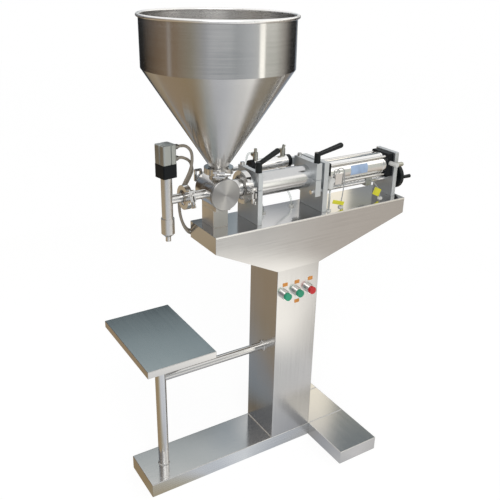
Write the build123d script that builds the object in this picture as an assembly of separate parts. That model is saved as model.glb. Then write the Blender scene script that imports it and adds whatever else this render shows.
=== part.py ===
from build123d import *
import os
from math import cos, radians, sin, sqrt, tan

# Piston filling machine: hopper, rotary valve, product cylinder and air cylinder on a column stand.
# Millimetres, +Z up, origin on the floor under the column's axis, +X towards the handwheel.

# Clearances and small details
running_gap = 0.05
loose_gap = 0.3
sheet = 2.0
base_sheet = 3.0
fold_radius = 2.0
edge_break = 0.8
height_match = 0.01

# Base, column and body
beam_width = 150.0
beam_height = 45.0
beam_end = 73.5
foot_width = 147.0
foot_reach = 173.0
column_width = 150.0
column_top = 648.0
body_height = 150.0
body_end_height = 50.0
deck_sheet = 5.0
deck_margin_left = 28.0
deck_margin_right = 15.0

# Container tray
post_offset = 351.5
post_diameter = 32.0
stand_wall = 2.0
post_plate_size = 80.0
post_plate_thickness = 5.0
arm_drop = 143.0
arm_diameter = 25.0
arm_collar_diameter = 34.0
arm_collar_length = 8.0
tray_width = 204.0
tray_length = 311.0
tray_depth = 20.0
tray_height = 501.0

# Push buttons on the column
button_spacing = 44.5
button_middle_x = -3.5
button_drop = 80.0
bezel_wall = 2.5
bezel_depth = 14.5
bezel_floor = 2.5
cap_diameter = 23.4
cap_depth = 17.0
button_travel = 4.0
button_barrel_diameter = 22.0
button_barrel_depth = 15.0
contact_width = 28.0
contact_height = 36.0
contact_depth = 40.0

# Rotary valve
axis_height = 102.0
valve_offset = 156.0
valve_diameter = 88.0
valve_front_depth = 31.0
valve_rear_depth = 54.0
valve_rear_wall = 8.0
valve_boss_diameter = 34.0
valve_boss_depth = 2.0
valve_cover_depth = 10.0
valve_cover_spigot = 4.0
valve_top_neck = 18.0
valve_side_neck = 34.0
valve_outlet_neck = 58.0
spool_diameter = 60.0
spool_port_diameter = 40.0
spool_end_gap = 0.5
valve_shaft_diameter = 18.0
shaft_seal_depth = 3.0
shaft_seal_width = 3.0
pedestal_width = 46.0
pedestal_height = 51.5
pedestal_front = 12.0
pedestal_rear = 56.0
saddle_front = 26.0
saddle_height = 16.0

# Clamped pipe joints: a two-jaw ring presses two tapered flanges onto a gasket
tube_bore = 46.0
tube_wall = 2.5
outlet_bore = 20.0
flange_rim = 2.85
flange_taper = 20.0
gasket_thickness = 2.0
ring_wall = 8.0
ring_width = 16.0
ring_lip = 4.0
ring_split = 5.0
hopper_ring_room = 2.5
outlet_ring_room = 8.75
hopper_clamp_angle = -120.0
outlet_clamp_angle = 22.0
hinge_offset = 3.0
knuckle_radius = 6.0
hinge_pin_radius = 3.0
swing_offset = 8.0
swing_pin_radius = 2.5
swing_bolt_radius = 3.0
swing_pin_rise = 9.0
pin_overhang = 1.0
eye_radius = 5.5
eye_flat = 0.5
ear_depth = 17.0
wing_nut_height = 14.0
wing_hub_radius = 6.0
wing_hub_top_radius = 4.8
wing_span = 24.0
wing_thickness = 3.0

# Hopper
hopper_diameter = 394.0
hopper_sheet = 1.5
hopper_neck = 10.0
hopper_cone_height = 260.0
hopper_drum_height = 124.5
rim_bead = 9.0

# Nozzle with shut-off plunger
nozzle_arm = 53.0
nozzle_diameter = 30.0
nozzle_wall = 3.0
nozzle_top_rise = 64.0
nozzle_bottom_drop = 50.0
tip_collar_step = 3.0
tip_collar_height = 43.0
tip_cone_height = 10.0
tip_spout_height = 12.5
tip_bore = 8.0
tip_wall = 3.25
tip_seat_height = 25.0
tip_seat_start = 12.5
tip_spigot = 8.0
tip_spigot_wall = 2.5
nozzle_turn = 10.0
adapter_size = 42.0
adapter_height = 36.0
adapter_spigot = 10.0
nozzle_cylinder_size = 41.0
nozzle_cylinder_wall = 3.5
nozzle_cylinder_top = 10.0
nozzle_head_room = 12.5
plunger_diameter = 8.0
plunger_stroke = 12.0
plunger_plug_height = 12.0
plunger_plug_rise = 1.0
plunger_piston_height = 10.0
plunger_piston_rise = 6.0

# Product cylinder and its two split clamps
cylinder_joint_gap = 16.0
barrel_bore = 63.0
barrel_wall = 3.0
front_plate_thickness = 15.0
block_thickness = 20.0
front_plate_setback = 2.0
block_setback = 1.0
clamp_cover = 15.5
clamp_gap = 1.0
clamp_stud_inset = 12.0
clamp_stud_room = 4.5
stud_diameter = 8.0
stud_depth = 30.0
block_bolt_room = 3.0
piston_length = 30.0
piston_front_gap = 7.0
piston_end_gap = 30.0
piston_stroke = 150.0
seal_width = 5.0
seal_depth = 4.0
seal_inset = 5.0
rod_diameter = 20.0
rod_spigot_diameter = 12.0
rod_spigot_length = 12.0
bush_flange_diameter = 80.0
bush_flange_depth = 8.0
bush_spigot = 16.0
lever_hub_diameter = 19.0
lever_hub_height = 30.0
lever_length = 66.5
lever_rise = 26.0
lever_root_radius = 6.5
lever_tip_radius = 8.0
front_lever_turn = 8.0
rear_lever_turn = -22.0
screw_head_diameter = 13.0
screw_head_height = 8.0

# Air cylinder
front_air_plate = 17.0
rear_air_plate = 15.0
rear_plate_depth = 90.0
rear_plate_drop = 10.0
rod_hole_room = 2.0
head_length = 23.0
head_spigot = 18.0
head_corner = 9.25
air_bore = 63.0
air_tube_wall = 2.5
tube_collar_length = 12.0
tube_collar_step = 1.2
tie_rod_gap = 1.95
tie_rod_diameter = 8.0
tie_nut_pocket = 12.0
tie_nut_room = 0.5
tie_nut_across = 13.0
tie_nut_height = 7.0
air_piston_length = 25.0
air_piston_gap = 4.0
air_end_gap = 9.0

# Volume adjuster
screw_room = 2.5
screw_diameter = 12.0
screw_seat = 10.0
screw_collar_diameter = 20.0
screw_collar_length = 6.0
wheel_diameter = 82.0
wheel_gap = 25.0
wheel_thickness = 13.0
wheel_hub_diameter = 26.0
wheel_rim_width = 9.0
wheel_web = 6.0
grip_circle = 64.0
grip_diameter = 12.0
grip_length = 32.0
grip_pin_diameter = 6.0
grip_pin_overhang = 1.0
carriage_length = 24.0
carriage_depth = 28.0
carriage_rise = 12.0
carriage_drop = 14.0
carriage_from_rear = 72.0
switch_length = 30.0
switch_depth = 8.0
switch_inset = 15.0
switch_strap = 4.0

# Valve actuator behind the product cylinder
crank_radius = 36.0
crank_swing = 45.0
crank_thickness = 6.0
crank_hub_diameter = 32.0
crank_eye_diameter = 20.0
crank_pin_diameter = 8.0
crank_pin_overhang = 1.0
crank_gap = 1.0
crank_room = 1.0
yoke_thickness = 6.0
yoke_side_room = 1.4
yoke_wall = 6.0
yoke_height_room = 2.0
actuator_plate_room = 12.0
actuator_bore = 32.0
actuator_wall = 2.0
actuator_front = 143.0
actuator_length = 140.0
actuator_cap = 12.0
actuator_rod_diameter = 12.0
rod_nut_step = 2.0
actuator_piston_length = 14.0
actuator_lug_length = 28.0
actuator_lug_thickness = 8.0
bracket_height = 22.0
bracket_thickness = 6.0
bracket_end_gap = 2.0
bracket_screw_depth = 12.0
pivot_bolt_diameter = 8.0

# Air lines, fittings and cables
nozzle_hose_diameter = 8.0
nozzle_hose_lead = 10.0
air_hose_diameter = 6.0
cable_diameter = 3.0
fitting_radius = 7.0
fitting_collar_radius = 5.6
fitting_collar_length = 3.5
nozzle_fitting_length = 18.5
nozzle_port_top = 12.0
nozzle_port_base = 8.0
bulkhead_radius = 6.0
bulkhead_neck_radius = 5.5
bulkhead_neck = 18.0
elbow_front_inset = 20.0
elbow_rear_inset = 24.0
elbow_rise = 13.0
elbow_length = 18.0
elbow_stem_radius = 7.5
elbow_crown = 1.5
elbow_knob_radius = 4.5
elbow_knob_height = 14.8
elbow_rear_lean = 18.0
port_radius = 9.5
port_reach = 15.5
port_drop = 28.0
port_offset = 7.0
controller_reach = 24.5
controller_knob_length = 28.0
grommet_radius = 8.5
grommet_height = 4.0
grommet_wall = 2.0
arc_share = 0.45
solenoid_pitch = 36.0
solenoid_width = 26.0
solenoid_depth = 50.0
solenoid_height = 45.0
manifold_height = 30.0
inlet_height = 300.0
inlet_spacing = 40.0
inlet_radius = 8.0
inlet_bore = 8.2
inlet_bore_depth = 17.0
inlet_core_bore = 5.0
inlet_length = 22.0
inlet_flange_radius = 12.0
inlet_flange_depth = 5.0

# Places of the stand
half_width = beam_width / 2
column_left = -column_width / 2
column_right = column_width / 2
post_x = column_left - post_offset
beam_left = post_x - beam_end
beam_right = column_right + foot_width
deck_height = column_top + body_height
deck_underside = deck_height - deck_sheet
body_end_z = deck_height - body_end_height
arm_z = tray_height - arm_drop
button_z = column_top - button_drop
bezel_radius = cap_diameter / 2 + loose_gap + bezel_wall

# Places of the valve and its pipe joints
axis_z = deck_height + axis_height
valve_x = column_left - valve_offset
valve_radius = valve_diameter / 2
tube_radius = tube_bore / 2 + tube_wall
outlet_radius = outlet_bore / 2 + tube_wall
barrel_radius = barrel_bore / 2 + barrel_wall
hopper_flange = 2 * (tube_radius + hopper_ring_room + ring_lip)
cylinder_flange = 2 * (max(barrel_radius, tube_radius) + loose_gap + ring_lip)
outlet_flange = 2 * (outlet_radius + outlet_ring_room + ring_lip)
hopper_joint_z = axis_z + valve_radius + valve_top_neck
cylinder_joint_x = valve_x + valve_radius + valve_side_neck
outlet_joint_x = valve_x - valve_radius - valve_outlet_neck
nozzle_x = outlet_joint_x - nozzle_arm
shaft_seal_radius = valve_shaft_diameter / 2 + shaft_seal_width

# Places along the product cylinder and the air cylinder
front_plate_left = cylinder_joint_x + cylinder_joint_gap
front_plate_right = front_plate_left + front_plate_thickness
piston_left = cylinder_joint_x + piston_front_gap
piston_right = piston_left + piston_length
block_right = piston_right + piston_stroke + piston_end_gap + bush_spigot
block_left = block_right - block_thickness
air_front_left = block_right + bush_flange_depth
air_front_right = air_front_left + front_air_plate
tube_left = air_front_right + head_length
air_piston_left = tube_left + head_spigot + air_piston_gap
air_piston_right = air_piston_left + air_piston_length
tube_right = air_piston_right + piston_stroke + air_end_gap + head_spigot
air_rear_left = tube_right + head_length
air_rear_right = air_rear_left + rear_air_plate
body_left = valve_x - pedestal_width / 2 - deck_margin_left
body_right = air_rear_right + deck_margin_right
front_x = (front_plate_left, front_plate_right)
block_x = (block_left, block_right)

# Places across the clamps and the air cylinder
stud_y = barrel_radius + clamp_stud_room + stud_diameter / 2
front_plate_depth = 2 * (stud_y + clamp_stud_inset)
plate_depth = front_plate_depth + 2 * front_plate_setback
block_depth = plate_depth - 2 * block_setback
clamp_top = axis_z + barrel_radius + clamp_cover
block_bolt_z = axis_z - stud_depth - stud_diameter / 2 - block_bolt_room
block_base = block_bolt_z - screw_head_diameter
air_tube_radius = air_bore / 2 + air_tube_wall
tie_rod_offset = (air_tube_radius + tie_rod_gap + tie_rod_diameter / 2) / sqrt(2)
head_half = tie_rod_offset + head_corner
screw_z = axis_z - head_half - screw_room - screw_collar_diameter / 2


def slab(x, y, z):
    """Block between the low and high values given for each axis."""
    spans = (x, y, z)
    middle = [(low + high) / 2 for low, high in spans]
    size = [high - low for low, high in spans]
    return Pos(*middle) * Box(*size)


def rod_x(radius, span, y, z):
    """Round bar along X."""
    return Pos(sum(span) / 2, y, z) * Rot(0, 90, 0) * Cylinder(radius, span[1] - span[0])


def rod_y(radius, span, x, z):
    """Round bar along Y."""
    return Pos(x, sum(span) / 2, z) * Rot(90, 0, 0) * Cylinder(radius, span[1] - span[0])


def rod_z(radius, span, x, y):
    """Round bar along Z."""
    return Pos(x, y, sum(span) / 2) * Cylinder(radius, span[1] - span[0])


def both(value):
    """Low and high value of a span centred on zero."""
    return (-value / 2, value / 2)


def around(middle, value):
    """Low and high value of a span centred on a place."""
    return (middle - value / 2, middle + value / 2)


def turned(points):
    """Solid turned about Z from (radius, height) points."""
    outline = Polyline(*[(radius, 0, height) for radius, height in points], close=True)
    return revolve(make_face(outline), axis=Axis.Z)


def group(solids):
    """Several separate solids in one node."""
    return Compound(children=list(solids))


def placed(plane, shape):
    return plane.location * shape


def flat_edges(shape, height):
    """Edges of a shape that lie flat at one height."""
    return shape.edges().filter_by_position(Axis.Z, height - height_match, height + height_match)


def folded_box(x, y, z, wall, floor):
    """Sheet box with rounded folds, closed underneath where its floor has a thickness."""
    outer = slab(x, y, z)
    soft = outer.edges().filter_by(Axis.Z) + flat_edges(outer, z[1])
    outer = fillet(soft, fold_radius)
    inside = slab((x[0] + wall, x[1] - wall), (y[0] + wall, y[1] - wall), (z[0] + floor, z[1] - wall))
    return outer - inside


def broken(shape):
    """Machined block with its sharp edges broken."""
    return chamfer(shape.edges(), edge_break)


# Stand


def box_section(x, y):
    """Closed beam that stands on the floor."""
    return folded_box(x, y, (0, beam_height), base_sheet, base_sheet)


def base_beam():
    return box_section((beam_left, beam_right), both(beam_width))


def cross_feet():
    foot_x = (column_right, beam_right)
    foot_end = half_width + foot_reach
    return group([box_section(foot_x, (-foot_end, -half_width)), box_section(foot_x, (half_width, foot_end))])


def button_places():
    return [button_middle_x + step * button_spacing for step in (-1, 0, 1)]


def column():
    span = (beam_height, column_top)
    outer = slab(both(column_width), both(beam_width), span)
    outer = fillet(outer.edges().filter_by(Axis.Z), fold_radius)
    shell = outer - slab(both(column_width - 2 * sheet), both(beam_width - 2 * sheet), span)
    front_wall = (-half_width, -half_width + sheet)
    rear_wall = (half_width - sheet, half_width)
    for x in button_places():
        shell -= rod_y(button_barrel_diameter / 2 + running_gap, front_wall, x, button_z)
    for x in both(inlet_spacing):
        shell -= rod_y(inlet_radius + running_gap, rear_wall, x, inlet_height)
    return shell


def body_outline(top):
    return Polyline(
        (body_left, top),
        (body_left, body_end_z),
        (column_left, column_top),
        (column_right, column_top),
        (body_right, body_end_z),
        (body_right, top),
        close=True,
    )


def bulkhead_places():
    """End and direction of each nozzle line behind the body, and the corner of its elbow."""
    places = []
    for name in bulkhead_lines:
        before, end = [Vector(*point) for point in hose_routes[name][1][-2:]]
        inwards = (end - before).normalized()
        places.append((end, inwards, end + inwards * bulkhead_neck))
    return places


def body_box():
    outer = extrude(Plane.XZ * make_face(body_outline(deck_underside)), half_width, both=True)
    outer = fillet(outer.edges().filter_by(Axis.Z), fold_radius)
    hollow = offset(make_face(body_outline(deck_height)), -sheet)
    shell = outer - extrude(Plane.XZ * hollow, half_width - sheet, both=True)
    for end, inwards, corner in bulkhead_places():
        wall = (half_width - sheet, half_width)
        shell -= rod_y(bulkhead_radius + running_gap, wall, corner.X, corner.Z)
    return shell


def deck_plate():
    plate = slab((body_left, body_right), both(beam_width), (deck_underside, deck_height))
    plate = fillet(plate.edges().filter_by(Axis.Z), fold_radius)
    plate = chamfer(flat_edges(plate, deck_height), edge_break)
    for x, y, radius in deck_exits():
        plate -= rod_z(radius + grommet_wall, (deck_underside, deck_height), x, y)
    return plate


# Container tray on its post


def tray_post():
    plate_top = tray_height - sheet
    plate_base = plate_top - post_plate_thickness
    pipe = rod_z(post_diameter / 2, (beam_height, plate_base), post_x, 0)
    pipe -= rod_z(post_diameter / 2 - stand_wall, (beam_height, plate_base), post_x, 0)
    return pipe + slab(around(post_x, post_plate_size), both(post_plate_size), (plate_base, plate_top))


def tray_arm():
    span = (post_x, column_left)
    pipe = rod_x(arm_diameter / 2, span, 0, arm_z)
    pipe += rod_x(arm_collar_diameter / 2, (column_left - arm_collar_length, column_left), 0, arm_z)
    pipe -= rod_x(arm_diameter / 2 - stand_wall, span, 0, arm_z)
    return pipe - rod_z(post_diameter / 2, (beam_height, tray_height), post_x, 0)


def tray():
    z = (tray_height - tray_depth, tray_height)
    return folded_box(around(post_x, tray_width), both(tray_length), z, sheet, 0)


# Push buttons


def button_body(x):
    face = -half_width
    front = face - bezel_depth
    ring = rod_y(bezel_radius, (front, face), x, button_z)
    ring = fillet(ring.edges().sort_by(Axis.Y)[0], edge_break)
    well = rod_y(cap_diameter / 2 + loose_gap, (front, face - bezel_floor), x, button_z)
    barrel_end = face + button_barrel_depth
    barrel = rod_y(button_barrel_diameter / 2, (face, barrel_end), x, button_z)
    block_y = (barrel_end, barrel_end + contact_depth)
    block = slab(around(x, contact_width), block_y, around(button_z, contact_height))
    return ring - well + barrel + block


def button_cap(x):
    back = -half_width - bezel_floor - button_travel - loose_gap
    cap = rod_y(cap_diameter / 2, (back - cap_depth, back), x, button_z)
    return fillet(cap.edges().sort_by(Axis.Y)[0], 2 * edge_break)


# Pipe joints held by clamp rings


def flange_back(flange_radius, pipe_radius):
    """Depth of a tapered flange where it meets its pipe."""
    return flange_rim + (flange_radius - pipe_radius) * tan(radians(flange_taper))


def flanged_pipe(bore, pipe_radius, flange, length):
    """Pipe that hangs below its sealing face at height zero, less half a gasket."""
    face = -gasket_thickness / 2
    radius = flange / 2
    return turned(
        [
            (bore / 2, face),
            (radius, face),
            (radius, face - flange_rim),
            (pipe_radius, face - flange_back(radius, pipe_radius)),
            (pipe_radius, -length),
            (bore / 2, -length),
        ]
    )


def gasket(bore, flange):
    ring = Cylinder(flange / 2 - loose_gap, gasket_thickness)
    return ring - Cylinder(bore / 2, gasket_thickness)


def ring_profile(flange):
    """Clamp ring with its tapered groove, before it is split."""
    seat = flange / 2 + loose_gap
    lip = flange / 2 - ring_lip
    outer = flange / 2 + ring_wall
    half = ring_width / 2

    def groove(radius):
        rise = (flange / 2 - radius) * tan(radians(flange_taper))
        return gasket_thickness / 2 + flange_rim + rise + loose_gap

    return turned(
        [
            (lip, groove(lip)),
            (lip, half),
            (outer, half),
            (outer, -half),
            (lip, -half),
            (lip, -groove(lip)),
            (seat, -groove(seat)),
            (seat, groove(seat)),
        ]
    )


def clamp_parts(flange):
    """Two jaws, two pins, a swing bolt and a wing nut about Z, bolt at +X, nut towards -Y."""
    outer = flange / 2 + ring_wall
    reach = 2 * outer
    wide = (-reach, reach)
    thick = both(ring_width)
    hinge_x = -outer - hinge_offset
    bolt_x = outer + swing_offset
    ring = ring_profile(flange)
    upper = ring - slab(wide, (-reach, ring_split / 2), thick)
    lower = ring - slab(wide, (-ring_split / 2, reach), thick)

    room = knuckle_radius + loose_gap
    middle = both(ring_width / 3)
    middle_room = both(ring_width / 3 + 2 * loose_gap)
    pin_hole = rod_z(hinge_pin_radius + running_gap, thick, hinge_x, 0)
    centre_knuckle = rod_z(knuckle_radius, middle, hinge_x, 0)
    outer_knuckles = rod_z(knuckle_radius, thick, hinge_x, 0) - slab(wide, wide, middle_room)
    upper -= rod_z(room, thick, hinge_x, 0) - slab(wide, wide, middle)
    lower -= rod_z(room, middle_room, hinge_x, 0)
    upper = upper + centre_knuckle - pin_hole
    lower = lower + outer_knuckles - pin_hole

    bore_room = Cylinder(flange / 2 + loose_gap, ring_width)
    ear_x = (flange / 2, bolt_x + eye_radius)
    eye_z = both(2 * (swing_bolt_radius + eye_flat))
    slot = both(2 * (swing_bolt_radius + eye_flat + loose_gap))
    upper_ear = slab(ear_x, (ring_split / 2, swing_pin_rise + eye_radius), thick) - bore_room
    swing_hole = rod_z(swing_pin_radius + running_gap, thick, bolt_x, swing_pin_rise)
    upper = upper + (upper_ear - slab((outer, 2 * reach), wide, slot)) - swing_hole
    lower_ear = slab(ear_x, (-ear_depth, -ring_split / 2), thick) - bore_room
    bolt_slot = slab((bolt_x - swing_bolt_radius - loose_gap, 2 * reach), wide, slot)
    lower = lower + (lower_ear - bolt_slot)

    pin_span = both(ring_width + 2 * pin_overhang)
    hinge_pin = rod_z(hinge_pin_radius, pin_span, hinge_x, 0)
    swing_pin = rod_z(swing_pin_radius, pin_span, bolt_x, swing_pin_rise)
    nut_end = -ear_depth - wing_nut_height
    bolt_end = nut_end - swing_bolt_radius
    bolt = rod_z(eye_radius, eye_z, bolt_x, swing_pin_rise)
    bolt += rod_y(swing_bolt_radius, (bolt_end, swing_pin_rise), bolt_x, 0)
    bolt -= swing_hole

    hub = Cone(wing_hub_radius, wing_hub_top_radius, wing_nut_height)
    hub = Pos(bolt_x, (nut_end - ear_depth) / 2, 0) * Rot(90, 0, 0) * hub
    wing_y = (bolt_end, -ear_depth - wing_nut_height / 2)
    wings = slab(around(bolt_x, wing_span), wing_y, both(wing_thickness))
    wings = fillet(wings.edges().filter_by(Axis.Z), swing_bolt_radius)
    nut = hub + wings - rod_y(swing_bolt_radius + running_gap, wide, bolt_x, 0)
    return {"jaws": [upper, lower], "hardware": [hinge_pin, swing_pin, bolt, nut]}


clamp_turn = radians(hopper_clamp_angle)
hopper_joint = Plane(
    origin=(valve_x, 0, hopper_joint_z),
    x_dir=(cos(clamp_turn), sin(clamp_turn), 0),
    z_dir=(0, 0, -1),
)
cylinder_joint = Plane(origin=(cylinder_joint_x, 0, axis_z), x_dir=(0, -1, 0), z_dir=(-1, 0, 0))
outlet_turn = radians(outlet_clamp_angle)
outlet_joint = Plane(
    origin=(outlet_joint_x, 0, axis_z),
    x_dir=(0, -cos(outlet_turn), sin(outlet_turn)),
    z_dir=(-1, 0, 0),
)
pipe_joints = [
    (hopper_joint, tube_bore, hopper_flange),
    (cylinder_joint, barrel_bore, cylinder_flange),
    (outlet_joint, outlet_bore, outlet_flange),
]


def facing(plane):
    """The same joint seen from its other side."""
    return Plane(origin=plane.origin, x_dir=plane.x_dir, z_dir=-plane.z_dir)


# Rotary valve

valve_rear = valve_rear_depth + valve_boss_depth
crank_front = valve_rear + crank_gap
crank_rear = crank_front + crank_thickness


def valve_body():
    body = rod_y(valve_radius, (-valve_front_depth, valve_rear_depth), valve_x, axis_z)
    body += rod_y(valve_boss_diameter / 2, (valve_rear_depth, valve_rear), valve_x, axis_z)
    top_pipe = flanged_pipe(tube_bore, tube_radius, hopper_flange, hopper_joint_z - axis_z)
    side_pipe = flanged_pipe(tube_bore, tube_radius, cylinder_flange, cylinder_joint_x - valve_x)
    outlet_pipe = flanged_pipe(outlet_bore, outlet_radius, outlet_flange, valve_x - outlet_joint_x)
    body += placed(facing(hopper_joint), top_pipe)
    body += placed(facing(cylinder_joint), side_pipe)
    body += placed(outlet_joint, outlet_pipe)
    inner = valve_rear_depth - valve_rear_wall
    body -= rod_y(spool_diameter / 2 + running_gap, (-valve_front_depth, inner), valve_x, axis_z)
    body -= rod_y(valve_shaft_diameter / 2 + running_gap, (inner, valve_rear), valve_x, axis_z)
    body -= rod_y(shaft_seal_radius, (valve_rear - shaft_seal_depth, valve_rear), valve_x, axis_z)
    body -= rod_z(tube_bore / 2, (axis_z, hopper_joint_z), valve_x, 0)
    body -= rod_x(tube_bore / 2, (valve_x, cylinder_joint_x), 0, axis_z)
    return body - rod_x(outlet_bore / 2, (outlet_joint_x, valve_x), 0, axis_z)


def valve_cover():
    back = -valve_front_depth
    disc = rod_y(valve_radius, (back - valve_cover_depth, back), valve_x, axis_z)
    disc = chamfer(disc.edges().sort_by(Axis.Y)[0], 2 * edge_break)
    spigot = rod_y(spool_diameter / 2 - running_gap, (back, back + valve_cover_spigot), valve_x, axis_z)
    return disc + spigot


def valve_spool():
    """Turning plug with a port from top to bottom and one to the side."""
    front = -valve_front_depth + valve_cover_spigot + spool_end_gap
    rear = valve_rear_depth - valve_rear_wall - spool_end_gap
    spool = rod_y(spool_diameter / 2, (front, rear), valve_x, axis_z)
    spool -= rod_z(spool_port_diameter / 2, around(axis_z, 2 * spool_diameter), valve_x, 0)
    spool -= rod_x(spool_port_diameter / 2, (valve_x, valve_x + spool_diameter), 0, axis_z)
    return spool + rod_y(valve_shaft_diameter / 2, (rear, crank_rear), valve_x, axis_z)


def static_seals():
    seal = rod_y(shaft_seal_radius, (valve_rear - shaft_seal_depth, valve_rear), valve_x, axis_z)
    seal -= rod_y(valve_shaft_diameter / 2 + running_gap, (0, valve_rear), valve_x, axis_z)
    rings = [placed(plane, gasket(bore, flange)) for plane, bore, flange in pipe_joints]
    return group(rings + [seal])


def pedestal():
    """Block on the deck and the saddle that carries the valve."""
    x = around(valve_x, pedestal_width)
    joint_z = deck_height + pedestal_height
    block = broken(slab(x, (-pedestal_front, pedestal_rear), (deck_height, joint_z)))
    saddle = broken(slab(x, (-saddle_front, pedestal_rear), (joint_z, joint_z + saddle_height)))
    saddle -= rod_y(valve_radius + running_gap, (-saddle_front, pedestal_rear), valve_x, axis_z)
    return group([block, *saddle.solids()])


def hopper():
    """Drum and cone of one sheet thickness with a rolled rim and a clamped neck."""
    neck_top = hopper_joint_z + hopper_neck
    cone_top = neck_top + hopper_cone_height
    drum_top = cone_top + hopper_drum_height
    outer = hopper_diameter / 2
    inner_neck = tube_bore / 2
    wall = turned(
        [
            (tube_radius, neck_top),
            (outer, cone_top),
            (outer, drum_top),
            (outer - hopper_sheet, drum_top),
            (outer - hopper_sheet, cone_top),
            (inner_neck, neck_top + tube_wall - hopper_sheet),
            (inner_neck, neck_top - tube_wall),
            (tube_radius, neck_top - tube_wall),
        ]
    )
    bead_face = Pos(outer + hopper_sheet, 0, drum_top) * Rot(90, 0, 0) * Circle(rim_bead / 2)
    wall += revolve(bead_face, axis=Axis.Z)
    neck = flanged_pipe(tube_bore, tube_radius, hopper_flange, hopper_neck - tube_wall)
    return Pos(valve_x, 0, 0) * (wall + Pos(0, 0, hopper_joint_z) * Rot(180, 0, 0) * neck)


# Nozzle

nozzle_bore = nozzle_diameter - 2 * nozzle_wall
nozzle_cylinder_bore = nozzle_cylinder_size - 2 * nozzle_cylinder_wall
nozzle_top = axis_z + nozzle_top_rise
nozzle_bottom = axis_z - nozzle_bottom_drop
tip_cone_top = nozzle_bottom - tip_collar_height
tip_cone_base = tip_cone_top - tip_cone_height
tip_end = tip_cone_base - tip_spout_height
tip_seat_base = tip_end + tip_seat_start
tip_seat_slope = (nozzle_bore - tip_bore) / 2 / tip_seat_height
adapter_top = nozzle_top + adapter_height
plunger_piston_base = adapter_top + plunger_piston_rise
plunger_piston_top = plunger_piston_base + plunger_piston_height
nozzle_bore_top = plunger_piston_top + plunger_stroke + nozzle_head_room
nozzle_cylinder_end = nozzle_bore_top + nozzle_cylinder_top


def nozzle_body():
    pipe = rod_z(nozzle_diameter / 2, (nozzle_bottom, nozzle_top), nozzle_x, 0)
    inlet = flanged_pipe(outlet_bore, outlet_radius, outlet_flange, outlet_joint_x - nozzle_x)
    pipe += placed(facing(outlet_joint), inlet)
    pipe -= rod_z(nozzle_bore / 2, (nozzle_bottom, nozzle_top), nozzle_x, 0)
    return pipe - rod_x(outlet_bore / 2, (nozzle_x, outlet_joint_x), 0, axis_z)


def nozzle_tip():
    collar = nozzle_diameter / 2 + tip_collar_step
    spigot = nozzle_bore / 2 - running_gap
    shape = turned(
        [
            (tip_bore / 2, tip_end),
            (tip_bore / 2 + tip_wall, tip_end),
            (tip_bore / 2 + tip_wall, tip_cone_base),
            (collar, tip_cone_top),
            (collar, nozzle_bottom),
            (spigot, nozzle_bottom),
            (spigot, nozzle_bottom + tip_spigot),
            (spigot - tip_spigot_wall, nozzle_bottom + tip_spigot),
            (spigot - tip_spigot_wall, nozzle_bottom),
            (nozzle_bore / 2, nozzle_bottom - tip_spigot_wall),
            (nozzle_bore / 2, tip_seat_base + tip_seat_height),
            (tip_bore / 2, tip_seat_base),
        ]
    )
    return Pos(nozzle_x, 0, 0) * shape


def nozzle_block(size, z):
    """Upright square block on the nozzle's axis, turned towards the hoses."""
    block = slab(both(size), both(size), z)
    block = fillet(block.edges().filter_by(Axis.Z), 2 * fold_radius)
    return Pos(nozzle_x, 0, 0) * Rot(0, 0, nozzle_turn) * block


def nozzle_adapter():
    block = nozzle_block(adapter_size, (nozzle_top, adapter_top))
    block += rod_z(nozzle_bore / 2 - running_gap, (nozzle_top - adapter_spigot, nozzle_top), nozzle_x, 0)
    hole = (nozzle_top - adapter_spigot, adapter_top)
    return block - rod_z(plunger_diameter / 2 + running_gap, hole, nozzle_x, 0)


def nozzle_air_cylinder():
    block = nozzle_block(nozzle_cylinder_size, (adapter_top, nozzle_cylinder_end))
    return block - rod_z(nozzle_cylinder_bore / 2, (adapter_top, nozzle_bore_top), nozzle_x, 0)


def nozzle_plunger():
    """Tapered plug, stem and air piston in one piece."""
    plug_base = tip_seat_base + plunger_plug_rise
    plug_top = plug_base + plunger_plug_height
    low = tip_bore / 2 + plunger_plug_rise * tip_seat_slope - loose_gap
    high = low + plunger_plug_height * tip_seat_slope
    stem = plunger_diameter / 2
    disc = nozzle_cylinder_bore / 2 - loose_gap
    shape = turned(
        [
            (0, plug_base),
            (low, plug_base),
            (high, plug_top),
            (stem, plug_top),
            (stem, plunger_piston_base),
            (disc, plunger_piston_base),
            (disc, plunger_piston_top),
            (0, plunger_piston_top),
        ]
    )
    return Pos(nozzle_x, 0, 0) * shape


# Product cylinder and split clamps


def split_clamp(x, depth, base):
    """Lower and upper half of a clamp that grips the product cylinder."""
    bore = rod_x(barrel_radius + running_gap, x, 0, axis_z)
    lower = broken(slab(x, both(depth), (base, axis_z - clamp_gap / 2))) - bore
    upper = broken(slab(x, both(depth), (axis_z + clamp_gap / 2, clamp_top))) - bore
    for y in (-stud_y, stud_y):
        hole = rod_z(stud_diameter / 2 + running_gap, (axis_z - stud_depth, clamp_top), sum(x) / 2, y)
        lower -= hole
        upper -= hole
    return lower, upper


def rear_clamp_lower():
    lower = split_clamp(block_x, block_depth, block_base)[0]
    for y in (-stud_y, stud_y):
        lower -= rod_x(stud_diameter / 2 + running_gap, block_x, y, block_bolt_z)
    return lower


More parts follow.
